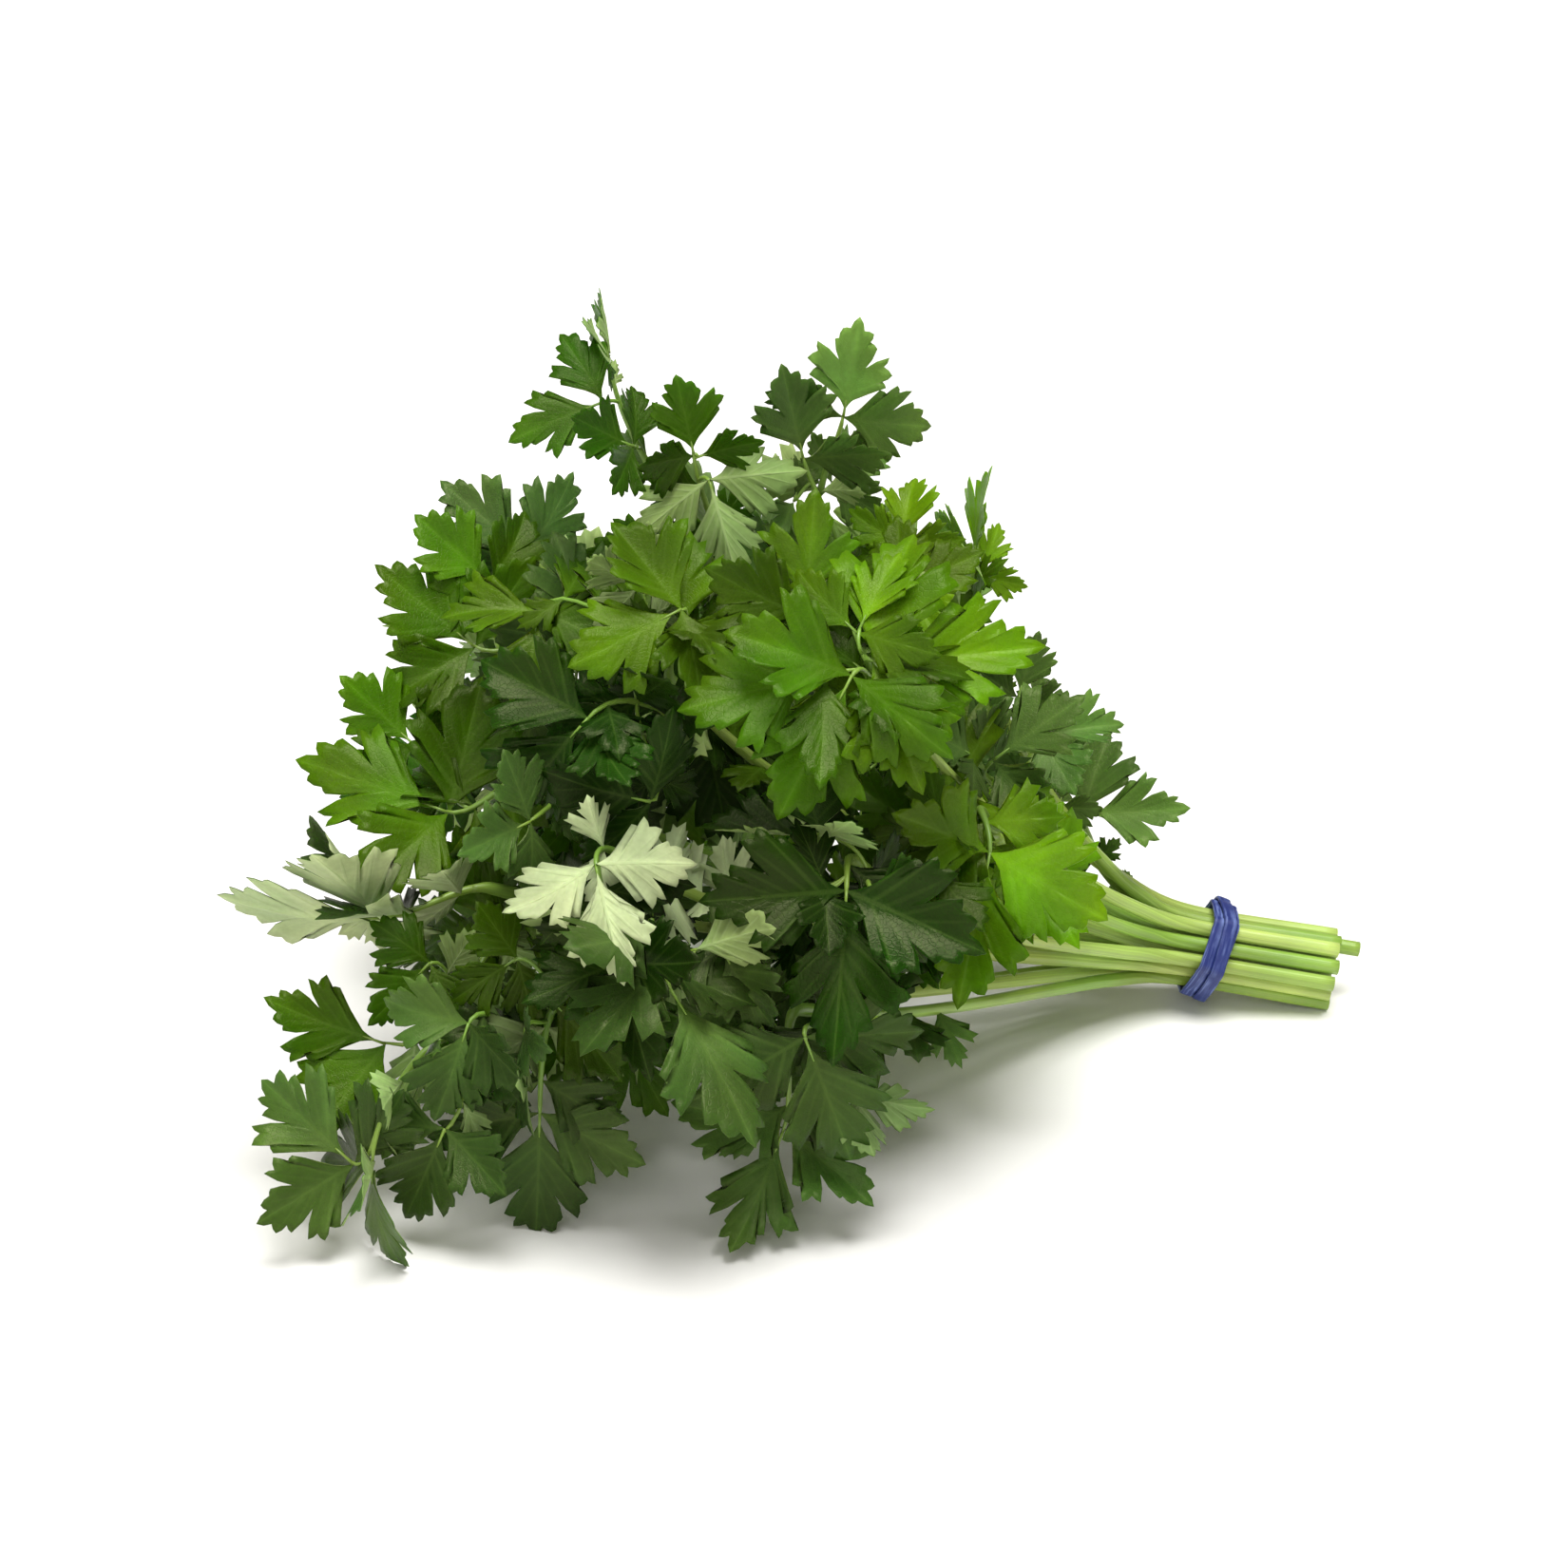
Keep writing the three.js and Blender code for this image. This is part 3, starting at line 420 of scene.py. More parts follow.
def best_way(start, heading, base, arrival, rings, radii, points):
    """The stalk's curve among its possible sidesteps whose ring middles lie one radius from the solid's
    corners, and how far off it is."""
    tries = []
    for sidestep in SIDESTEPS:
        path = bezier(stalk_ends(start, heading, base, arrival, sidestep), np.linspace(0, 1, 60))
        middles = evenly(path, rings)
        near = norm(points[None] - middles[:, None], axis=-1).min(1)
        tries.append((np.abs(near - radii).sum(), len(tries), path))
    return min(tries, key=lambda one: one[:2])


def stalk_paths(points, sprays, stem, second):
    """The paths of a leaf's stalks: its own one to one spray, and a branch off it to each other spray.
    Returns [(path, first radius, last radius)] in the order of the sprays, and points along the sheath that
    joins the leaf's own stalk to the stem's middle."""
    knots, tangent = stem
    ways = []
    for i, (base, arrival, _) in enumerate(sprays):
        start, heading = knots[-1] + tangent * LEAF_GAP, tangent
        if second:
            below = evenly(knots, [SECOND_LEAF_START])[0]
            aside = base - below
            aside = unit(aside - tangent * (aside @ tangent))
            start, heading = below + aside * ASIDE, unit(aside + tangent)
        rings = np.array((0.25, 0.5, 0.75))
        radii = RACHIS_RADIUS + (BRANCH_RADIUS - RACHIS_RADIUS) * rings
        ways.append((*best_way(start, heading, base, arrival, rings, radii, points), i))
    _, _, rachis, first = min(ways, key=lambda one: one[0])
    run, top = run_along(knots)[-1], SECOND_LEAF_START if second else 1
    inside = evenly(knots, [top - SHEATH / run, top - SHEATH / 2 / run])
    joint = np.concatenate([inside, evenly(rachis, SHEATH_ENDS)])
    paths = {first: (rachis, RACHIS_RADIUS, BRANCH_RADIUS)}
    starts = evenly(rachis, BRANCH_STARTS)
    for i, (base, arrival, _) in enumerate(sprays):
        if i == first:
            continue
        nearest = norm(starts - base, axis=1).argmin()
        root = starts[nearest]
        ahead = evenly(rachis, [BRANCH_STARTS[nearest] - 0.02, BRANCH_STARTS[nearest] + 0.02])
        heading = unit(unit(base - root) + BRANCH_LEAN * unit(ahead[1] - ahead[0]))
        way = best_way(root, heading, base, arrival, np.array((1, 2)) / 3, BRANCH_RADIUS, points)
        paths[i] = (way[2], BRANCH_RADIUS, BRANCH_RADIUS)
    return [paths[i] for i in range(len(sprays))], joint


# ---- surfaces

class Surface:
    """Triangles gathered for one piece, with their finish, two maps and a tint at each corner."""

    def __init__(self):
        self.points, self.triangles, self.finish = [], [], []
        self.lines, self.flat, self.tints, self.count = [], [], [], 0

    def add(self, points, tint, *skins):
        """Adds points (n, 3) and the triangles on them, with a tint of which the fourth value, where there is
        one, is how pale the underside is. Each skin is (triangles (m, 3), finish number, and for each corner
        of each triangle its place on the line map and on the flat map (m, 3, 2))."""
        for triangles, finish, lines, flat in skins:
            m = len(triangles)
            self.triangles.append(triangles + self.count)
            self.finish.append(np.broadcast_to(finish, m))
            self.lines.append(np.broadcast_to(lines, (m, 3, 2)))
            self.flat.append(np.broadcast_to(flat, (m, 3, 2)))
        self.points.append(points)
        tint = np.atleast_2d(tint)
        if tint.shape[1] == 3:
            tint = np.c_[tint, np.ones(len(tint))]
        self.tints.append(np.broadcast_to(tint, (len(points), 4)))
        self.count += len(points)

    def piece(self, name, materials, node, slot):
        """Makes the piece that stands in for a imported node."""
        points, triangles = np.concatenate(self.points), np.concatenate(self.triangles)
        mesh = bpy.data.meshes.new(name)
        mesh.from_pydata(points, [], triangles, shade_flat=False)
        mesh.polygons.foreach_set("material_index", np.concatenate(self.finish).astype(np.int32))
        for map_name, values in (("lines", self.lines), ("flat", self.flat)):
            layer = mesh.uv_layers.new(name=map_name)
            layer.data.foreach_set("uv", np.concatenate(values).astype(np.float32).ravel())
        layer = mesh.attributes.new("tint", "FLOAT_COLOR", "POINT")
        layer.data.foreach_set("color", np.concatenate(self.tints).astype(np.float32).ravel())
        if mesh.validate():
            raise ValueError(f"{name} has faces that Blender refuses")
        for material in materials:
            mesh.materials.append(material)
        piece = bpy.data.objects.new(name, mesh)
        bpy.context.scene.collection.objects.link(piece)
        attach(piece, BODY)
        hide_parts(node)


def grid_triangles(rows, columns, corners=((0, 0), (0, 1), (1, 1), (1, 0))):
    """Two triangles for each cell of a grid of rows x columns cells, through its corners in the given order:
    the first three, and the first with the last two. Returns (m, 3, 2) of row and column."""
    i, j = np.meshgrid(np.arange(rows), np.arange(columns), indexing="ij")
    a, b, c, d = (np.stack([i + p, j + q], -1).reshape(-1, 2) for p, q in corners)
    return np.concatenate([np.stack([a, b, c], 1), np.stack([a, c, d], 1)])


def tube(path, radii, sides):
    """A closed tube along a path: at each step a ring of corners, the path's point plus radius times
    (cosine x one side - sine x the other side), and a middle point at each end.
    radii: (steps, sides). Returns the points, the triangles, and each corner's share of the way round and
    distance along."""
    steps = len(path)
    tangent = unit(np.gradient(path, axis=0))
    flat_side = svd(tangent - tangent.mean(0))[2][-1]
    side = unit(np.cross(tangent, flat_side))
    other = np.cross(side, tangent)
    angle = np.arange(sides) * 2 * math.pi / sides
    ring = np.cos(angle)[None, :, None] * side[:, None] - np.sin(angle)[None, :, None] * other[:, None]
    points = path[:, None] + radii[:, :, None] * ring
    cells = grid_triangles(steps - 1, sides)
    run = run_along(path)
    triangles = cells[..., 0] * sides + cells[..., 1] % sides
    lines = np.stack([cells[..., 1] / sides, run[cells[..., 0]]], -1)
    j = np.arange(sides)
    first, last = steps * sides, steps * sides + 1
    ends = np.concatenate([
        np.stack([np.full(sides, first), (j + 1) % sides, j], 1),
        np.stack([np.full(sides, last), last - 1 - sides + j, last - 1 - sides + (j + 1) % sides], 1),
    ])
    points = np.concatenate([points.reshape(-1, 3), path[:1], path[-1:]])
    return points, triangles, lines, ends


def add_round_tube(surface, path, radii, tint, sides):
    """A tube with one radius at each step."""
    points, triangles, lines, ends = tube(path, np.repeat(radii[:, None], sides, 1), sides)
    surface.add(points, tint, (triangles, STALK, lines, 0.0), (ends, STALK, 0.0, 0.0))


def add_stalk(surface, path, first, last, tint, sides=8, steps=10):
    """A stalk that thins evenly from the first radius to the last, with a smaller end."""
    radii = np.linspace(first, last, steps + 1)
    radii[-1] *= 0.6
    add_round_tube(surface, evenly(path, np.linspace(0, 1, steps + 1)), radii, tint, sides)


def add_sheath(surface, knots, tint, sides=12, steps=12):
    """The swollen foot of a leaf's stalk, which grows out of the stem."""
    run = run_along(knots)
    radii = np.interp(np.linspace(0, 1, steps + 1), run / run[-1], SHEATH_RADII)
    add_round_tube(surface, smooth_path(knots, steps), radii, tint, sides)


# ---- leaflets

class BladeGrid:
    """How a leaflet's columns (along the outline, base to tip to base) and rows (midrib to margin) are sewn
    up. Both halves share the midrib, and the first and last columns are the base. A fine grid has a column
    between each two points of the outline, where the margin swells out."""

    def __init__(self, rows, fine):
        self.fine, points = fine, len(NARROW)
        half = 2 * points - 1 if fine else points
        columns, rows = 2 * half - 1, np.array(rows)
        tooth = np.interp(np.linspace(0, points - 1, half), np.arange(points), TOOTH)
        tooth = np.concatenate([tooth, tooth[-2::-1]])
        i, j = np.meshgrid(np.arange(columns), np.arange(len(rows)), indexing="ij")
        mirrored = np.minimum(i, columns - 1 - i)
        key = np.where(mirrored == 0, 0, np.where(j == 0, mirrored, i) * len(rows) + j)
        _, place, ids = np.unique(key, return_index=True, return_inverse=True)
        ids = ids.reshape(i.shape)
        self.column, row = np.divmod(place, len(rows))
        self.reach, self.tooth = rows[row], tooth[self.column]
        cells = grid_triangles(columns - 1, len(rows) - 1, ((0, 0), (1, 0), (1, 1), (0, 1)))
        triangles = ids[cells[..., 0], cells[..., 1]]
        whole = (triangles != triangles[:, (1, 2, 0)]).all(1)
        self.upper, cells = triangles[whole], cells[whole]
        self.upper_lines = np.stack([tooth[cells[..., 0]], rows[cells[..., 1]]], -1)
        self.size = len(place)
        self.lower, self.lower_lines = self.upper[:, ::-1] + self.size, self.upper_lines[:, ::-1]
        a, b = ids[:-1, -1], ids[1:, -1]
        c, d = a + self.size, b + self.size
        self.rim = np.concatenate([np.stack([a, b, d], 1), np.stack([a, d, c], 1)])


FINE_BLADE = BladeGrid(FINE_ROWS, True)
SMALL_BLADE = BladeGrid(SMALL_ROWS, False)


def swollen(half):
    """A half outline with a point added between each two, moved out to the right of the way by SWELL."""
    step = np.diff(half[..., :2], axis=-2)
    outwards = np.stack([step[..., 1], -step[..., 0]], -1) * np.array(SWELL)[:, None]
    between = (half[..., :-1, :] + half[..., 1:, :]) / 2
    between[..., :2] += outwards
    full = np.empty((*half.shape[:-2], 2 * half.shape[-2] - 1, half.shape[-1]))
    full[..., 0::2, :], full[..., 1::2, :] = half, between
    return full


def above_floor(points, floor, ease):
    """Points lower than ease above the floor are drawn up to it: ease x e^(height / ease - 1)."""
    height = points[..., 2] - floor
    eased = ease * np.exp(np.minimum(height / ease - 1, 0))
    points[..., 2] = floor + np.where(height < ease, eased, height)
    return points


def outlines(grid, narrow, rng):
    """Each leaflet's margin and where its veins leave the midrib, (n, points, 3): narrow x the narrow form +
    (1 - narrow) x the broad one for each half, every point and both halves a little different."""
    n, narrow = len(narrow), narrow[:, None, None, None]
    halves = np.repeat(narrow * np.array(NARROW) + (1 - narrow) * np.array(BROAD), 2, axis=1)
    halves[:, :, 3:-1, :2] += rng.normal(0, UNEVEN, (n, 2, len(NARROW) - 4, 2))
    halves[..., 0] *= rng.uniform(*WIDTHS, (n, 2, 1))
    halves[:, :, 3:9, 1] *= rng.uniform(*SIDE_LOBES, (n, 2, 1))
    if grid.fine:
        halves = swollen(halves)
    return np.concatenate([halves[:, 0] * (-1, 1, 1), halves[:, 1, -2::-1]], axis=1)[:, grid.column]


def relief(settings, grid, x, y, varied):
    """How far points stand out of a leaflet's plane. Both halves fold up from the midrib by the root of
    (x squared + the fold's width squared), less that width. Waves run round the base, one broad and one
    fine, and along the teeth, each growing towards the margin. The blade bulges between the veins, and is
    grooved along the midrib by e^(-(x / the groove's width) squared)."""
    z = settings.fold * varied(*FOLDS) * (np.sqrt(x**2 + FOLD_WIDTH**2) - FOLD_WIDTH)
    turn, far = np.arctan2(x, y + WAVE_CENTRE), np.hypot(x, y)
    kinds = ((turn, far**1.5, LOBE_WAVE), (turn, far**2, RIPPLE), (grid.tooth, grid.reach**3, TOOTH_WAVE))
    for place, growth, (height, least, most, waves) in kinds:
        wave = settings.wave * height * varied(least, most) * growth
        z += wave * np.sin(waves * place + varied(0, 2 * math.pi))
    bulge = np.cos(2 * math.pi * grid.tooth) * np.sin(math.pi * grid.reach) * (grid.tooth >= 0)
    return z - settings.quilt * bulge - settings.groove * np.exp(-((x / GROOVE_WIDTH) ** 2)) * (1 - 0.6 * y)


def bent(x, y, z, bend, twist):
    """A blade of length 1 bent back along an arc of the angle bend, where y becomes sine(bend y) / bend and
    z stands square to the arc, and then turned about its length by twist x y."""
    bend = np.where(np.abs(bend) < LEAST_BEND, LEAST_BEND, bend)
    turned = bend * y
    y_bent = np.sin(turned) / bend + z * np.sin(turned)
    z = z * np.cos(turned) - (1 - np.cos(turned)) / bend
    turned = twist * y
    return x * np.cos(turned) + z * np.sin(turned), y_bent, z * np.cos(turned) - x * np.sin(turned)


def add_blades(surface, settings, grid, frames, sizes, narrow, tints, rng):
    """Leaflets: in a leaflet's own plane each point lies on a vein's line, a share of the way from its root
    on the midrib to the margin. The blade gets its relief, is bent, and gets its thickness, thinner to the
    margin, with the midrib standing out underneath.
    frames: (base, along, out of the upper side) of each leaflet. narrow: 0 broad to 1 narrow."""
    bases, along, out = frames
    axes = np.stack([np.cross(along, out), along, out], 1)
    outline, reach = outlines(grid, narrow, rng), grid.reach
    x = reach * outline[..., 0]
    y = outline[..., 2] + reach * (outline[..., 1] - outline[..., 2])

    def varied(low, high):
        return rng.uniform(low, high, (len(bases), 1))

    z = relief(settings, grid, x, y, varied)
    x_bent, y_bent, z_bent = bent(x, y, z, settings.bend * varied(*BENDS), varied(*TWISTS))
    half = settings.thickness / 2 * (1 - MARGIN_THINNER * reach)[None] / sizes[:, None]
    rib = settings.rib * (reach == 0) * (1 - TIP_RIB_THINNER * y) / sizes[:, None]

    def placed(height):
        local = np.stack([x_bent, y_bent, z_bent + height], -1) * sizes[:, None, None]
        return above_floor(bases[:, None] + local @ axes, FRAME_BOX[0][2], EASE)

    upper, lower = placed(half), placed(-half - rib)
    flat = np.stack([x, y], -1)
    for k in range(len(bases)):
        surface.add(np.concatenate([upper[k], lower[k]]), tints[k],
                    (grid.upper, UPPER, grid.upper_lines, flat[k][grid.upper]),
                    (grid.lower, UNDER, grid.lower_lines, flat[k][grid.lower - grid.size]),
                    (grid.rim, UPPER, (-0.5, 1.0), flat[k][grid.rim % grid.size]))


# ---- finishes

class Finish:
    """Builds one procedural material, a node at a time."""

    def __init__(self, name):
        self.material = bpy.data.materials.new(name)
        self.material.use_nodes = True
        self.tree = self.material.node_tree
        self.shader = self.tree.nodes["Principled BSDF"]

    def put(self, socket, value):
        """Links a socket to a socket, or sets its value, where a colour is opaque."""
        if isinstance(value, bpy.types.NodeSocket):
            self.tree.links.new(value, socket)
        elif hasattr(value, "__len__"):
            socket.default_value = (*value, 1.0) if len(value) < len(socket.default_value) else tuple(value)
        else:
            socket.default_value = value

    def node(self, kind, output=0, inputs=(), **settings):
        made = self.tree.nodes.new("ShaderNode" + kind)
        for key, value in settings.items():
            setattr(made, key, value)
        for key, value in dict(inputs).items():
            self.put(made.inputs[key], value)
        return made.outputs[output]

    def set(self, **sockets):
        for key, value in sockets.items():
            self.put(self.shader.inputs[key.replace("_", " ")], value)
        return self.material

    def math(self, operation, *values):
        return self.node("Math", inputs=dict(enumerate(values)), operation=operation)

    def times(self, first, second):
        return self.math("MULTIPLY", first, second)

    def plus(self, first, second):
        return self.math("ADD", first, second)

    def most(self, first, second):
        return self.math("MAXIMUM", first, second)

    def tint(self, channel="Color"):
        return self.node("Attribute", channel, attribute_name="tint")

    def mix(self, factor, first, second, blend="MIX"):
        return self.node("Mix", 2, {0: factor, 6: first, 7: second}, data_type="RGBA", blend_type=blend)

    def fade(self, value, low, high, to_low=0.0, to_high=1.0):
        """Goes smoothly from to_low at low to to_high at high."""
        ends = {"Value": value, "From Min": low, "From Max": high, "To Min": to_low, "To Max": to_high}
        return self.node("MapRange", inputs=ends, interpolation_type="SMOOTHSTEP")

    def noise(self, scale, detail=3.0, vector=None, stretch=(1, 1, 1)):
        """Noise on the piece's own coordinates, or on a map. scale is in turns per metre or per map unit."""
        vector = vector or self.node("TexCoord", "Object")
        if stretch != (1, 1, 1):
            vector = self.node("Mapping", inputs={"Vector": vector, "Scale": stretch})
        return self.node("TexNoise", "Fac", {"Vector": vector, "Scale": scale, "Detail": detail})

    def patches(self, scale, detail, low, high):
        """Broad or fine patches, from low to high."""
        return self.fade(self.noise(scale, detail), 0.3, 0.7, low, high)

    def map(self, name):
        return self.node("UVMap", uv_map=name)

    def map_axes(self, name):
        parts = self.tree.nodes.new("ShaderNodeSeparateXYZ")
        self.put(parts.inputs[0], self.map(name))
        return parts.outputs[0], parts.outputs[1]

    def varied(self, tint, hue, value):
        """A tint with its hue turned, where 0.5 is no turn, and its brightness multiplied."""
        return self.node("HueSaturation", inputs={"Hue": hue, "Value": value, "Color": tint})

    def bump(self, height, strength, depth):
        return self.node("Bump", inputs={"Height": height, "Strength": strength, "Distance": depth})


def blade_veins(finish):
    """How much of a vein is at a point, 0 to 1: the midrib, the side lobes' main veins, and faintly a vein
    to each tooth. Also how near to the midrib or a main vein the point is, in a broad soft band."""
    tooth, reach = finish.map_axes("lines")
    x, y = finish.map_axes("flat")
    spread = finish.most(reach, 0.3)
    aside = finish.times(finish.math("PINGPONG", tooth, 0.5), spread)
    small = finish.times(finish.fade(aside, 0.02, 0.07, 0.45, 0), finish.fade(reach, 0.6, 0.95, 1, 0))
    off_main = finish.times(finish.math("ABSOLUTE", finish.math("SUBTRACT", tooth, 1.0)), spread)
    lobe = finish.times(finish.fade(off_main, 0.02, 0.09, 0.8, 0), finish.fade(reach, 0.7, 1, 1, 0.2))
    slender = finish.math("DIVIDE", finish.math("ABSOLUTE", x), finish.math("SUBTRACT", 1.25, y))
    veins = finish.most(finish.most(small, lobe), finish.fade(slender, 0.007, 0.024, 1, 0))
    glow = finish.most(finish.fade(off_main, 0.0, 0.5, 0.7, 0), finish.fade(slender, 0.0, 0.12, 1, 0))
    return veins, glow


def blade_mottle(finish, tint, depth, glow):
    """The tint, lighter and darker in broad patches and in a fine grain, and lighter along the main veins."""
    value = finish.fade(finish.noise(60, 3), 0.3, 0.72, 1 - depth, 1 + depth)
    value = finish.times(value, finish.patches(900, 2, 0.95, 1.05))
    value = finish.times(value, finish.plus(0.92, finish.times(glow, 0.25)))
    return finish.varied(tint, finish.patches(38, 2, 0.493, 0.516), value)


def leaf_upper(settings):
    """A soft gloss over a net of fine veins."""
    finish = Finish("leaf upper side")
    veins, glow = blade_veins(finish)
    tint = blade_mottle(finish, finish.tint(), 0.25, glow)
    net = finish.node("TexVoronoi", "Distance", {"Vector": finish.map("flat"), "Scale": 26.0},
                      feature="DISTANCE_TO_EDGE")
    height = finish.math("SUBTRACT", finish.times(finish.fade(net, 0.0, 0.14), 0.3), finish.times(veins, 0.2))
    height = finish.plus(height, finish.times(finish.noise(420, 3), 0.5))
    return finish.set(Base_Color=finish.mix(finish.times(veins, 0.1), tint, settings.vein),
                      Roughness=finish.patches(110, 3, 0.27, 0.42), Normal=finish.bump(height, 0.4, 0.2 * MM),
                      Specular_IOR_Level=settings.gloss, Specular_Tint=settings.gloss_colour,
                      Subsurface_Weight=0.15, Subsurface_Radius=(0.6, 1.0, 0.2), Subsurface_Scale=1.2 * MM)


def leaf_under(settings):
    """Matt and paler, with the veins standing out."""
    finish = Finish("leaf underside")
    veins, glow = blade_veins(finish)
    pale = finish.tint("Alpha")
    under = finish.mix(finish.fade(pale, 0.7, 0.95), settings.under, settings.palest)
    tint = blade_mottle(finish, finish.mix(pale, finish.tint(), under), 0.14, glow)
    height = finish.plus(veins, finish.times(finish.noise(600, 3), 0.3))
    return finish.set(Base_Color=finish.mix(finish.times(veins, 0.3), tint, settings.under_vein),
                      Roughness=finish.patches(110, 3, 0.55, 0.72),
                      Normal=finish.bump(height, 0.5, 0.25 * MM), Specular_IOR_Level=0.25,
                      Subsurface_Weight=0.15, Subsurface_Radius=(0.6, 1.0, 0.3), Subsurface_Scale=1.2 * MM)


def stem_finish(name, depth):
    """Fine lines along the stem, broad patches, and a soft gloss."""
    finish = Finish(name)
    lines = finish.noise(1.0, 3, finish.map("lines"), (26, 14, 1))
    value = finish.fade(lines, 0.3, 0.7, 1 - depth, 1 + depth)
    value = finish.times(value, finish.patches(55, 3, 0.88, 1.12))
    tint = finish.varied(finish.tint(), finish.patches(30, 2, 0.485, 0.51), value)
    height = finish.plus(lines, finish.times(finish.noise(700, 2), 0.4))
    return finish.set(Base_Color=tint, Roughness=finish.patches(160, 3, 0.30, 0.46),
                      Normal=finish.bump(height, 0.35, 0.12 * MM), Specular_IOR_Level=0.5,
                      Subsurface_Weight=0.2, Subsurface_Radius=(0.8, 1.0, 0.3), Subsurface_Scale=1.5 * MM)


def cut_finish(settings):
    """A stem's cut end: pale pith, a ring of darker bundles of fibre, and a green skin."""
    finish = Finish("stem cut end")
    x, y = finish.map_axes("flat")
    radius = finish.math("SQRT", finish.plus(finish.times(x, x), finish.times(y, y)))
    cells = finish.noise(1.0, 3, finish.map("flat"), (9, 9, 1))
    bundles = finish.times(finish.fade(radius, 0.55, 0.72), finish.fade(cells, 0.42, 0.6))
    tint = finish.mix(finish.times(bundles, 0.5), settings.pith, settings.fibre)
    return finish.set(Base_Color=finish.mix(finish.fade(radius, 0.82, 0.97), tint, settings.green),
                      Roughness=finish.fade(cells, 0.3, 0.7, 0.35, 0.6),
                      Normal=finish.bump(cells, 0.5, 0.2 * MM),
                      Subsurface_Weight=0.2, Subsurface_Scale=1.5 * MM)


def band_finish(settings):
    """Blue rubber, paler in streaks along the strand, partly dust where it is rubbed and partly painted
    highlight, and rougher there.
    """
    finish = Finish("blue rubber")
    wear_and_highlight_streaks = finish.noise(1.0, 4, finish.map("lines"), (5, 12, 1))
    # The paler streaks: dust, and painted highlight on the strands.
    dust = finish.times(finish.fade(wear_and_highlight_streaks, 0.42, 0.68), finish.fade(finish.noise(200, 3), 0.3, 0.62))
    height = finish.plus(wear_and_highlight_streaks, finish.times(finish.noise(1500, 2), 0.5))
    return finish.set(Base_Color=finish.mix(finish.times(dust, 0.8), settings.colour, settings.dust),
                      Roughness=finish.fade(wear_and_highlight_streaks, 0.3, 0.7, 0.42, 0.66),
                      Normal=finish.bump(height, 0.5, 0.12 * MM), Specular_IOR_Level=0.5)


def floor_finish(settings):
    """Pale and matt, a little unevenly."""
    finish = Finish("pale floor")
    return finish.set(Base_Color=settings.floor, Roughness=finish.patches(3, 2, 0.85, 1.0))


# ---- stems

def stem_line(node):
    """A stem's middle line, from the cut end to the fork, the way it points there, and its rings."""
    rings = stem_rings(node)
    knots = rings.mean(1)
    return knots, ring_axis(rings[-1], knots[-1] - knots[-2]), rings


def stem_radii(at, angle, radius, settings, rng):
    """A stem's radii by step and corner: its radius x (1 - rib height x (1.5 - ridge) / 2), where the ridge
    is a cosine with a wave for each rib, plus half a cosine with two waves that turns along the stem."""
    ridge = np.cos(settings.ribs * angle + rng.uniform(0, 6))
    ridge = ridge + 0.5 * np.cos(2 * angle[None] + 3 * at[:, None] + rng.uniform(0, 6))
    return radius[:, None] * (1 - settings.rib_height * (1.5 - ridge) / 2)


def stem_tints(at, near_fork, settings, rng):
    """A stem's tint at each step, between the green and the light one: lighter to the cut end, in a slow
    wave, and the fork's own at the fork."""
    light = rng.uniform(0, 1) * (1 - 0.6 * at[:, None])
    light = np.clip(light + 0.12 * np.sin(9 * at[:, None] + rng.uniform(0, 6)), 0, 1)
    tint = light * np.array(settings.light) + (1 - light) * np.array(settings.green)
    return tint + near_fork[:, None] * (np.array(settings.fork) - tint)


class PARSLEY_OT_stems(bpy.types.Operator):
    """Makes the ribbed stems with their cut ends"""

    bl_idname = "parsley.stems"
    bl_label = "Make the stems"

    def execute(self, context):
        settings = context.scene.parsley_stems
        finishes = (stem_finish("stem skin", 0.16), cut_finish(settings))
        at = np.linspace(0, 1, settings.steps + 1)
        angle = np.arange(settings.sides) * 2 * math.pi / settings.sides
        disc = np.stack([np.cos(angle), np.sin(angle)], -1)
        flat = np.concatenate([np.tile(disc, (settings.steps + 1, 1)), np.zeros((2, 2))])
        for index, node in enumerate(STEMS):
            rng = np.random.default_rng(STEM_SEED + index)
            knots, _, rings = stem_line(node)
            run = run_along(knots)
            radius = np.interp(at * run[-1], run, norm(rings - knots[:, None], axis=-1).mean(1))
            near_fork = np.clip(1 - (1 - at) * run[-1] / settings.taper, 0, 1)
            radius = radius * (1 - near_fork**2) + settings.tip * near_fork**2
            radii = stem_radii(at, angle, radius, settings, rng)
            points, triangles, lines, ends = tube(smooth_path(knots, settings.steps), radii, settings.sides)
            tint = stem_tints(at, near_fork, settings, rng)
            tint = np.concatenate([np.repeat(tint, settings.sides, 0), tint[:1], tint[-1:]])
            surface = Surface()
            surface.add(points, tint, (triangles, SKIN, lines, 0.0),
                        (ends, np.repeat((CUT, SKIN), settings.sides), 0.0, flat[ends]))
            surface.piece(node.replace("stem", "parsley_stem"), finishes, node, "stem")
        return {"FINISHED"}


# ---- leaves

class Leaf:
    """One packed leaf as it was read: its leaflets, its sprays and the paths of its stalks."""

    def __init__(self, node, knots, tangent):
        self.node = node
        points, triangles = corners_of(node)
        self.bases, self.along, self.out, self.sizes = leaflets_of(points, triangles)
        self.sprays = sprays_of(self.bases, self.along, self.sizes)
        self.paths, self.joint = stalk_paths(points, self.sprays, (knots, tangent), node.endswith("b"))
        self.knots = knots

    def outlook(self):
        """Points that its leaflets fill: the middle and the tip of each."""
        reach = self.sizes[:, None] * self.along
        return np.concatenate([self.bases + reach * 0.5, self.bases + reach])


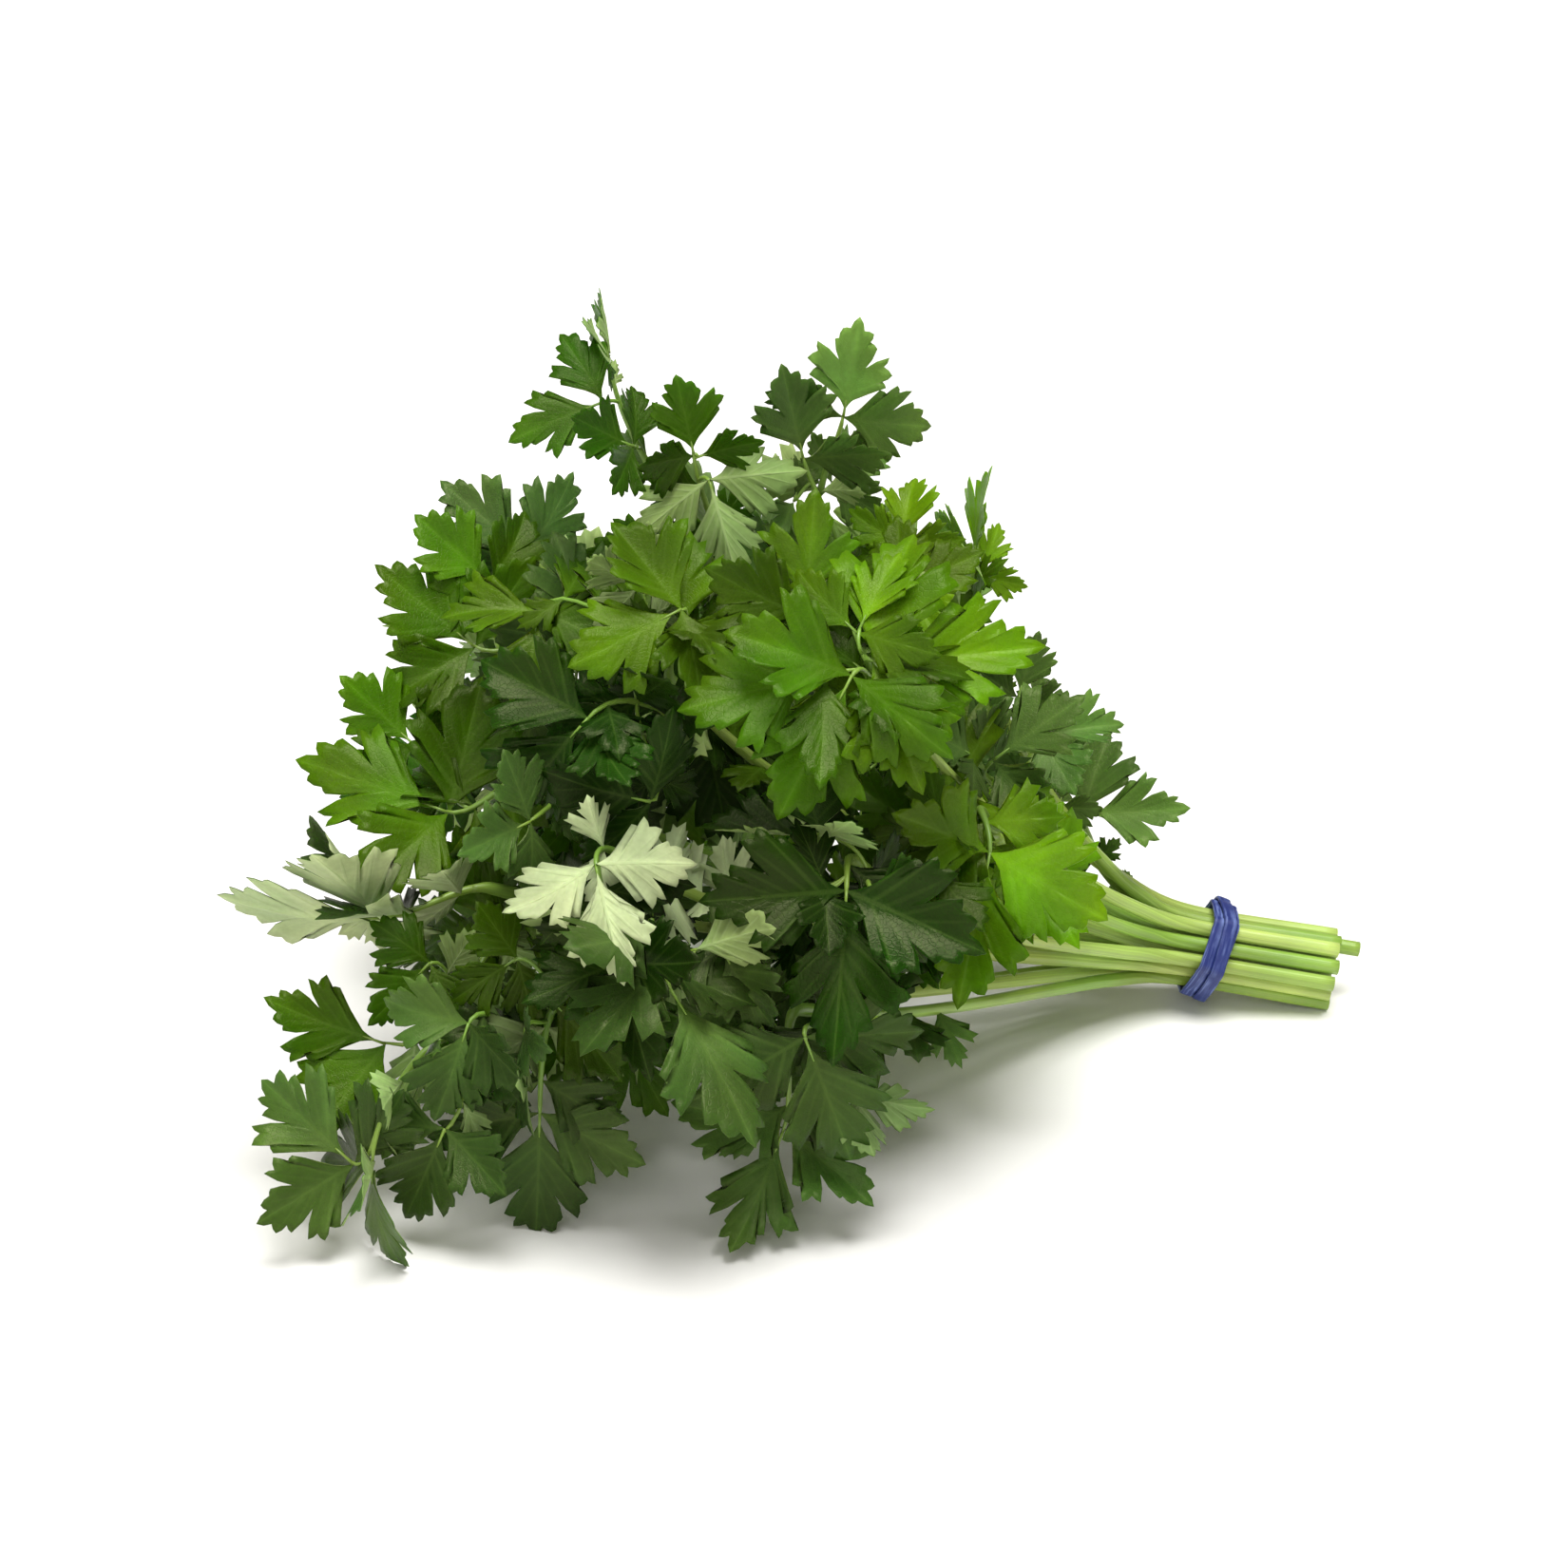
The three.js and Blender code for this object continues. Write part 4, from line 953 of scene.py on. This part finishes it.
def small_pairs(leaf, taken, settings, rng):
    """Small leaflets in pairs along the stalks, square to the face of the spray at the stalk's end. One
    grows only where no other leaflet's middle or tip is near. Returns what add_blades needs of them."""
    found = []
    ways = [(path, middle) for (path, _, _), (_, _, middle) in zip(leaf.paths, leaf.sprays)]
    if leaf.node.endswith("a"):
        shares = np.linspace(1 - settings.stem_share, STEM_PAIRS_END, 24)
        ways.append((evenly(leaf.knots, shares), ways[0][1]))
    for path, middle in ways:
        count = int(run_along(path)[-1] / settings.pair_step)
        for place in (np.arange(count) + 0.75) / (count + 0.5):
            base, ahead = evenly(path, [place, min(place + 0.03, 1)])
            way = unit(ahead - base)
            face = leaf.out[middle] * (-1 if rng.uniform() < settings.turned else 1)
            face = face + rng.normal(0, SMALL_TURN, 3)
            aside = np.cross(way, unit(face - way * (face @ way)))
            for side in (-1, 1):
                size = leaf.sizes[middle] * settings.pair_size * rng.uniform(*PAIR_SIZES)
                lean = way * rng.uniform(*PAIR_LEANS)
                along = unit(aside * side + lean + rng.normal(0, SMALL_SWING, 3))
                out = unit(face - along * (face @ along))
                ends = np.array((base + along * size * 0.5, base + along * size))
                room = norm(taken - ends[:, None], axis=-1).min()
                if room > settings.pair_room and ends[1, 2] > size * SMALL_CLEAR:
                    found.append((base, along, out, size))
                    taken = np.concatenate([taken, ends])
    return [np.array(column) for column in zip(*found)], taken


def shade(bases, along, sizes, cover, settings):
    """Painted shade: how much darker a leaflet's colour is made for what lies round it, e^(-shade x (covered
    - open sky)), and lighter for the most open ones. What is covered adds up the other leaflets' areas over
      those of
    spheres at their distances, above counting most."""
    places = bases + along * sizes[:, None] / 2
    gap = cover[0] + cover[1] * cover[2][:, None] / 2 - places[:, None]
    far = np.maximum(norm(gap, axis=-1), CLOSEST)
    part = LEAFLET_AREA * cover[2] ** 2 / (4 * math.pi * np.maximum(far, cover[2] / 2) ** 2) * (far > ITSELF)
    covered = (part * (1 + FROM_ABOVE * gap[..., 2] / far) / 2).sum(1)
    return np.exp(-settings.shade * np.maximum(covered - settings.open_sky, LIGHTEST))[:, None]


def leaf_tone(node, settings, blend, kind):
    """A leaf's green, between the settings' greens, the grey one being painted sheen. Where it isn't set,
    blend and kind choose it.
    """
    bright, mid, dark, grey = np.array((settings.bright, settings.mid, settings.dark, settings.grey))
    if node in BRIGHT_LEAVES:
        return bright * 0.85 + mid * 0.15
    if node in FRESH_LEAVES:
        return bright * 0.3 + mid * 0.7
    # Painted sheen: half the grey green.
    if node in PAINTED_SHEEN_LEAVES:
        return grey * 0.5 + mid * 0.5
    if node in DARK_LEAVES:
        return dark * 0.8 + mid * 0.2
    base = mid * blend + dark * (1 - blend)
    if kind < 0.3:
        return base * 0.6 + bright * 0.4
    # Some others get painted sheen too.
    return base * 0.6 + grey * 0.4 if kind < 0.55 else base


def grow(surface, leaf, settings, cover, taken, rng):
    """One leaf: its stalks, the leaflets of its sprays and the small ones in pairs. Returns the places that
    are taken then."""
    tone = leaf_tone(leaf.node, settings, *rng.uniform(0, 1, 2))
    drawn = rng.uniform(*PALENESS)
    pale = PALEST if leaf.node in PALE_LEAVES else drawn
    stalk = np.array(settings.stalk) * rng.uniform(*LEAF_STALK_TINTS)
    add_sheath(surface, leaf.joint, stalk)
    for path, first, last in leaf.paths:
        add_stalk(surface, path, first, last, stalk * rng.uniform(*STALK_TINTS))

    middles = [middle for _, _, middle in leaf.sprays]
    narrow = rng.uniform(*NARROW_SIDES, len(leaf.bases))
    narrow[middles] = rng.uniform(*NARROW_MIDDLES, len(middles))
    starts, spans = leaf.bases.copy(), leaf.sizes * LEAFLET_SPAN
    starts[middles] += leaf.along[middles] * MIDDLE_START * leaf.sizes[middles, None]
    spans[middles] *= MIDDLE_SPAN
    for i in middles:
        neck = np.array((leaf.bases[i], leaf.bases[i] + leaf.along[i] * NECK_TOP * leaf.sizes[i]))
        add_stalk(surface, neck, *NECK_RADII, stalk, 6, 3)

    def tints(bases, along, sizes):
        # A leaflet's tint: its leaf's green, varied at random, times painted shade from the leaflets round
        # it.
        tone_and_painted_shade = rng.uniform(*LEAFLET_TINTS, (len(sizes), 1)) * shade(bases, along, sizes, cover, settings)
        return np.c_[tone * tone_and_painted_shade, np.full(len(sizes), pale)]

    add_blades(surface, settings, FINE_BLADE, (starts, leaf.along, leaf.out), spans, narrow,
               tints(leaf.bases, leaf.along, leaf.sizes), rng)
    small, taken = small_pairs(leaf, taken, settings, rng)
    if small:
        bases, along, out, sizes = small
        tint = tints(bases, along, sizes)
        narrow = rng.uniform(0, 1, len(sizes))
        add_blades(surface, settings, SMALL_BLADE, (bases, along, out), sizes, narrow, tint, rng)
    return taken


class PARSLEY_OT_leaves(bpy.types.Operator):
    """Makes the leaves: stalks, branches and toothed leaflets"""

    bl_idname = "parsley.leaves"
    bl_label = "Make the leaves"

    def execute(self, context):
        settings = context.scene.parsley_leaves
        finishes = (leaf_upper(settings), leaf_under(settings), stem_finish("leaf stalk", 0.1))
        stems = {node: stem_line(node)[:2] for node in STEMS}
        leaves = [Leaf(node, *stems["stem_" + node[5:7]]) for node in LEAVES]
        taken = np.concatenate([leaf.outlook() for leaf in leaves])
        grown = zip(*((leaf.bases, leaf.along, leaf.sizes) for leaf in leaves))
        cover = [np.concatenate(each) for each in grown]
        for index, leaf in enumerate(leaves):
            surface = Surface()
            rng = np.random.default_rng(LEAF_SEED + index)
            taken = grow(surface, leaf, settings, cover, taken, rng)
            surface.piece(leaf.node.replace("leaf", "parsley_leaf"), finishes, leaf.node, "leaf")
        return {"FINISHED"}


# ---- the band

def volume_of(points, triangles):
    """What triangles hold: a sixth of the sum of a . (b x c), below 0 where they face inwards."""
    a, b, c = (points[triangles[:, k]] for k in range(3))
    return float((a * np.cross(b, c)).sum() / 6)


def bundle_size():
    """The distance between neighbouring stems in the tie, and their radius."""
    rings = [stem_rings(node)[:2] for node in STEMS]
    tied = np.array([ring.mean(1)[1] for ring in rings])
    gaps = norm(tied[:, None] - tied, axis=-1)
    radius = norm(rings[0][0] - rings[0][0].mean(0), axis=1).mean()
    return np.sort(gaps, axis=1)[:, 1].mean(), radius


def bundle_reach(angle, pitch, radius):
    """How far the tied stems reach from their middle at an angle: a hexagon with a stem at each corner. It
    is the flat side's distance over the cosine from its middle, or at a corner the stem's own round side."""
    sixth = math.pi / 3
    off = np.abs(angle - sixth * np.round(angle / sixth))
    corner = 2 * pitch
    flat = (corner * math.cos(sixth / 2) + radius) / np.cos(sixth / 2 - off)
    beside = corner * np.sin(off)
    rounded = corner * np.cos(off) + np.sqrt(np.maximum(radius**2 - beside**2, 0))
    return np.where(beside >= radius, flat, np.minimum(flat, rounded))


def wound_strand(settings, centre, axis):
    """The band's corners by step and corner. The strand goes round the axis at the reach of the tied stems
    plus the gap. Once in all its turns it climbs by a sine, over itself, and wanders along the axis by a
    cosine. Its section has half its width x sine and half its thickness x cosine, each raised to
    BAND_ROUNDING with its sign kept."""
    front = np.array((0.0, 1.0, 0.0))
    up = np.cross(axis, front)
    turn = np.linspace(0, 1, settings.turns * BAND_STEPS, endpoint=False)
    angle = 2 * math.pi * settings.turns * turn
    phase = 2 * math.pi * turn
    reach = bundle_reach(angle, *bundle_size())
    lift = settings.gap + settings.thickness / 2 + settings.stack * (1 + np.sin(phase))
    corner = np.linspace(0, 2 * math.pi, BAND_CORNERS, endpoint=False)
    wide, thick = (np.sign(way) * np.abs(way) ** BAND_ROUNDING for way in (np.sin(corner), np.cos(corner)))
    along = settings.spread * np.cos(phase)[:, None] + settings.width / 2 * wide
    away = (reach + lift)[:, None] + settings.thickness / 2 * thick
    return (centre + along[..., None] * axis + (away * np.cos(angle)[:, None])[..., None] * front
            - (away * np.sin(angle)[:, None])[..., None] * up)


class PARSLEY_OT_band(bpy.types.Operator):
    """Makes the rubber band wound round the stems"""

    bl_idname = "parsley.band"
    bl_label = "Make the rubber band"

    def execute(self, context):
        settings = context.scene.parsley_band
        corners, _ = corners_of(BAND)
        centre = corners.mean(0)
        axis = svd(corners - centre)[2][-1]
        points = wound_strand(settings, centre, axis * np.sign(axis[0]))
        rows, sides = points.shape[:2]
        points, cells = points.reshape(-1, 3), grid_triangles(rows, sides)
        triangles = cells[..., 0] % rows * sides + cells[..., 1] % sides
        lines = np.stack([cells[..., 0] / BAND_STEPS, cells[..., 1] / sides], -1)
        if volume_of(points, triangles) < 0:
            triangles, lines = triangles[:, ::-1], lines[:, ::-1]
        surface = Surface()
        surface.add(points, settings.colour, (triangles, 0, lines, 0.0))
        surface.piece("blue_rubber_band", (band_finish(settings),), BAND, "rubber_band")
        return {"FINISHED"}


# ---- the stage

def lamp(name, strength, softness, lean):
    """A soft light from far away."""
    light = bpy.data.lights.new(name, "SUN")
    light.energy, light.angle = strength, softness
    made = bpy.data.objects.new(name, light)
    made.rotation_euler = (math.radians(lean[0]), math.radians(lean[1]), 0)
    bpy.context.scene.collection.objects.link(made)


class PARSLEY_OT_stage(bpy.types.Operator):
    """Makes the floor, the lights and the camera"""

    bl_idname = "parsley.stage"
    bl_label = "Make the stage"

    def execute(self, context):
        settings = context.scene.parsley_stage
        low, reach = FRAME_BOX[0], settings.reach
        mesh = bpy.data.meshes.new("floor")
        corners = [(x * reach, y * reach, low[2]) for x, y in ((-1, -1), (1, -1), (1, 1), (-1, 1))]
        mesh.from_pydata(corners, [], [(0, 1, 2, 3)])
        mesh.materials.append(floor_finish(settings))
        floor = bpy.data.objects.new("floor", mesh)
        context.scene.collection.objects.link(floor)

        world = bpy.data.worlds.new("white room")
        world.use_nodes = True
        background = world.node_tree.nodes["Background"]
        background.inputs["Color"].default_value = (*settings.sky_colour, 1.0)
        background.inputs["Strength"].default_value = settings.sky
        context.scene.world = world
        context.scene.view_settings.view_transform = "Standard"

        lamp("key", settings.key, settings.softness, KEY_LEAN)
        lamp("fill", settings.fill, settings.softness, FILL_LEAN)

        aim = np.array((-settings.aim_aside, settings.aim_back, low[2] + settings.aim_height))
        back = np.array((0, -math.cos(settings.elevation), math.sin(settings.elevation)))
        camera = bpy.data.objects.new("camera", bpy.data.cameras.new("camera"))
        camera.data.lens = settings.lens
        camera.data.clip_start = 0.05
        camera.location = aim + back * settings.distance
        camera.rotation_euler = (math.pi / 2 - settings.elevation, 0, 0)
        context.scene.collection.objects.link(camera)
        context.scene.camera = camera
        return {"FINISHED"}


# ---- the add-on

class PARSLEY_PT_panel(bpy.types.Panel):
    """The bunch's operators and settings"""

    bl_idname = "PARSLEY_PT_panel"
    bl_label = "Parsley bunch"
    bl_space_type = "VIEW_3D"
    bl_region_type = "UI"
    bl_category = "Parsley"

    def draw(self, context):
        for operator, group in STEPS:
            box = self.layout.box()
            box.operator(operator.bl_idname)
            settings = getattr(context.scene, group)
            for name in settings.__annotations__:
                box.prop(settings, name)


STEPS = (
    (PARSLEY_OT_stems, "parsley_stems"),
    (PARSLEY_OT_leaves, "parsley_leaves"),
    (PARSLEY_OT_band, "parsley_band"),
    (PARSLEY_OT_stage, "parsley_stage"),
)
GROUPS = {
    "parsley_stems": StemSettings,
    "parsley_leaves": LeafSettings,
    "parsley_band": BandSettings,
    "parsley_stage": StageSettings,
}


def register():
    for name, group in GROUPS.items():
        bpy.utils.register_class(group)
        setattr(bpy.types.Scene, name, bpy.props.PointerProperty(type=group))
    for operator, _ in STEPS:
        bpy.utils.register_class(operator)
    bpy.utils.register_class(PARSLEY_PT_panel)


def unregister():
    bpy.utils.unregister_class(PARSLEY_PT_panel)
    for operator, _ in STEPS:
        bpy.utils.unregister_class(operator)
    for name, group in GROUPS.items():
        delattr(bpy.types.Scene, name)
        bpy.utils.unregister_class(group)


def main():
    register()
    for operator, _ in STEPS:
        family, name = operator.bl_idname.split(".")
        getattr(getattr(bpy.ops, family), name)()


if __name__ == "__main__":
    main()
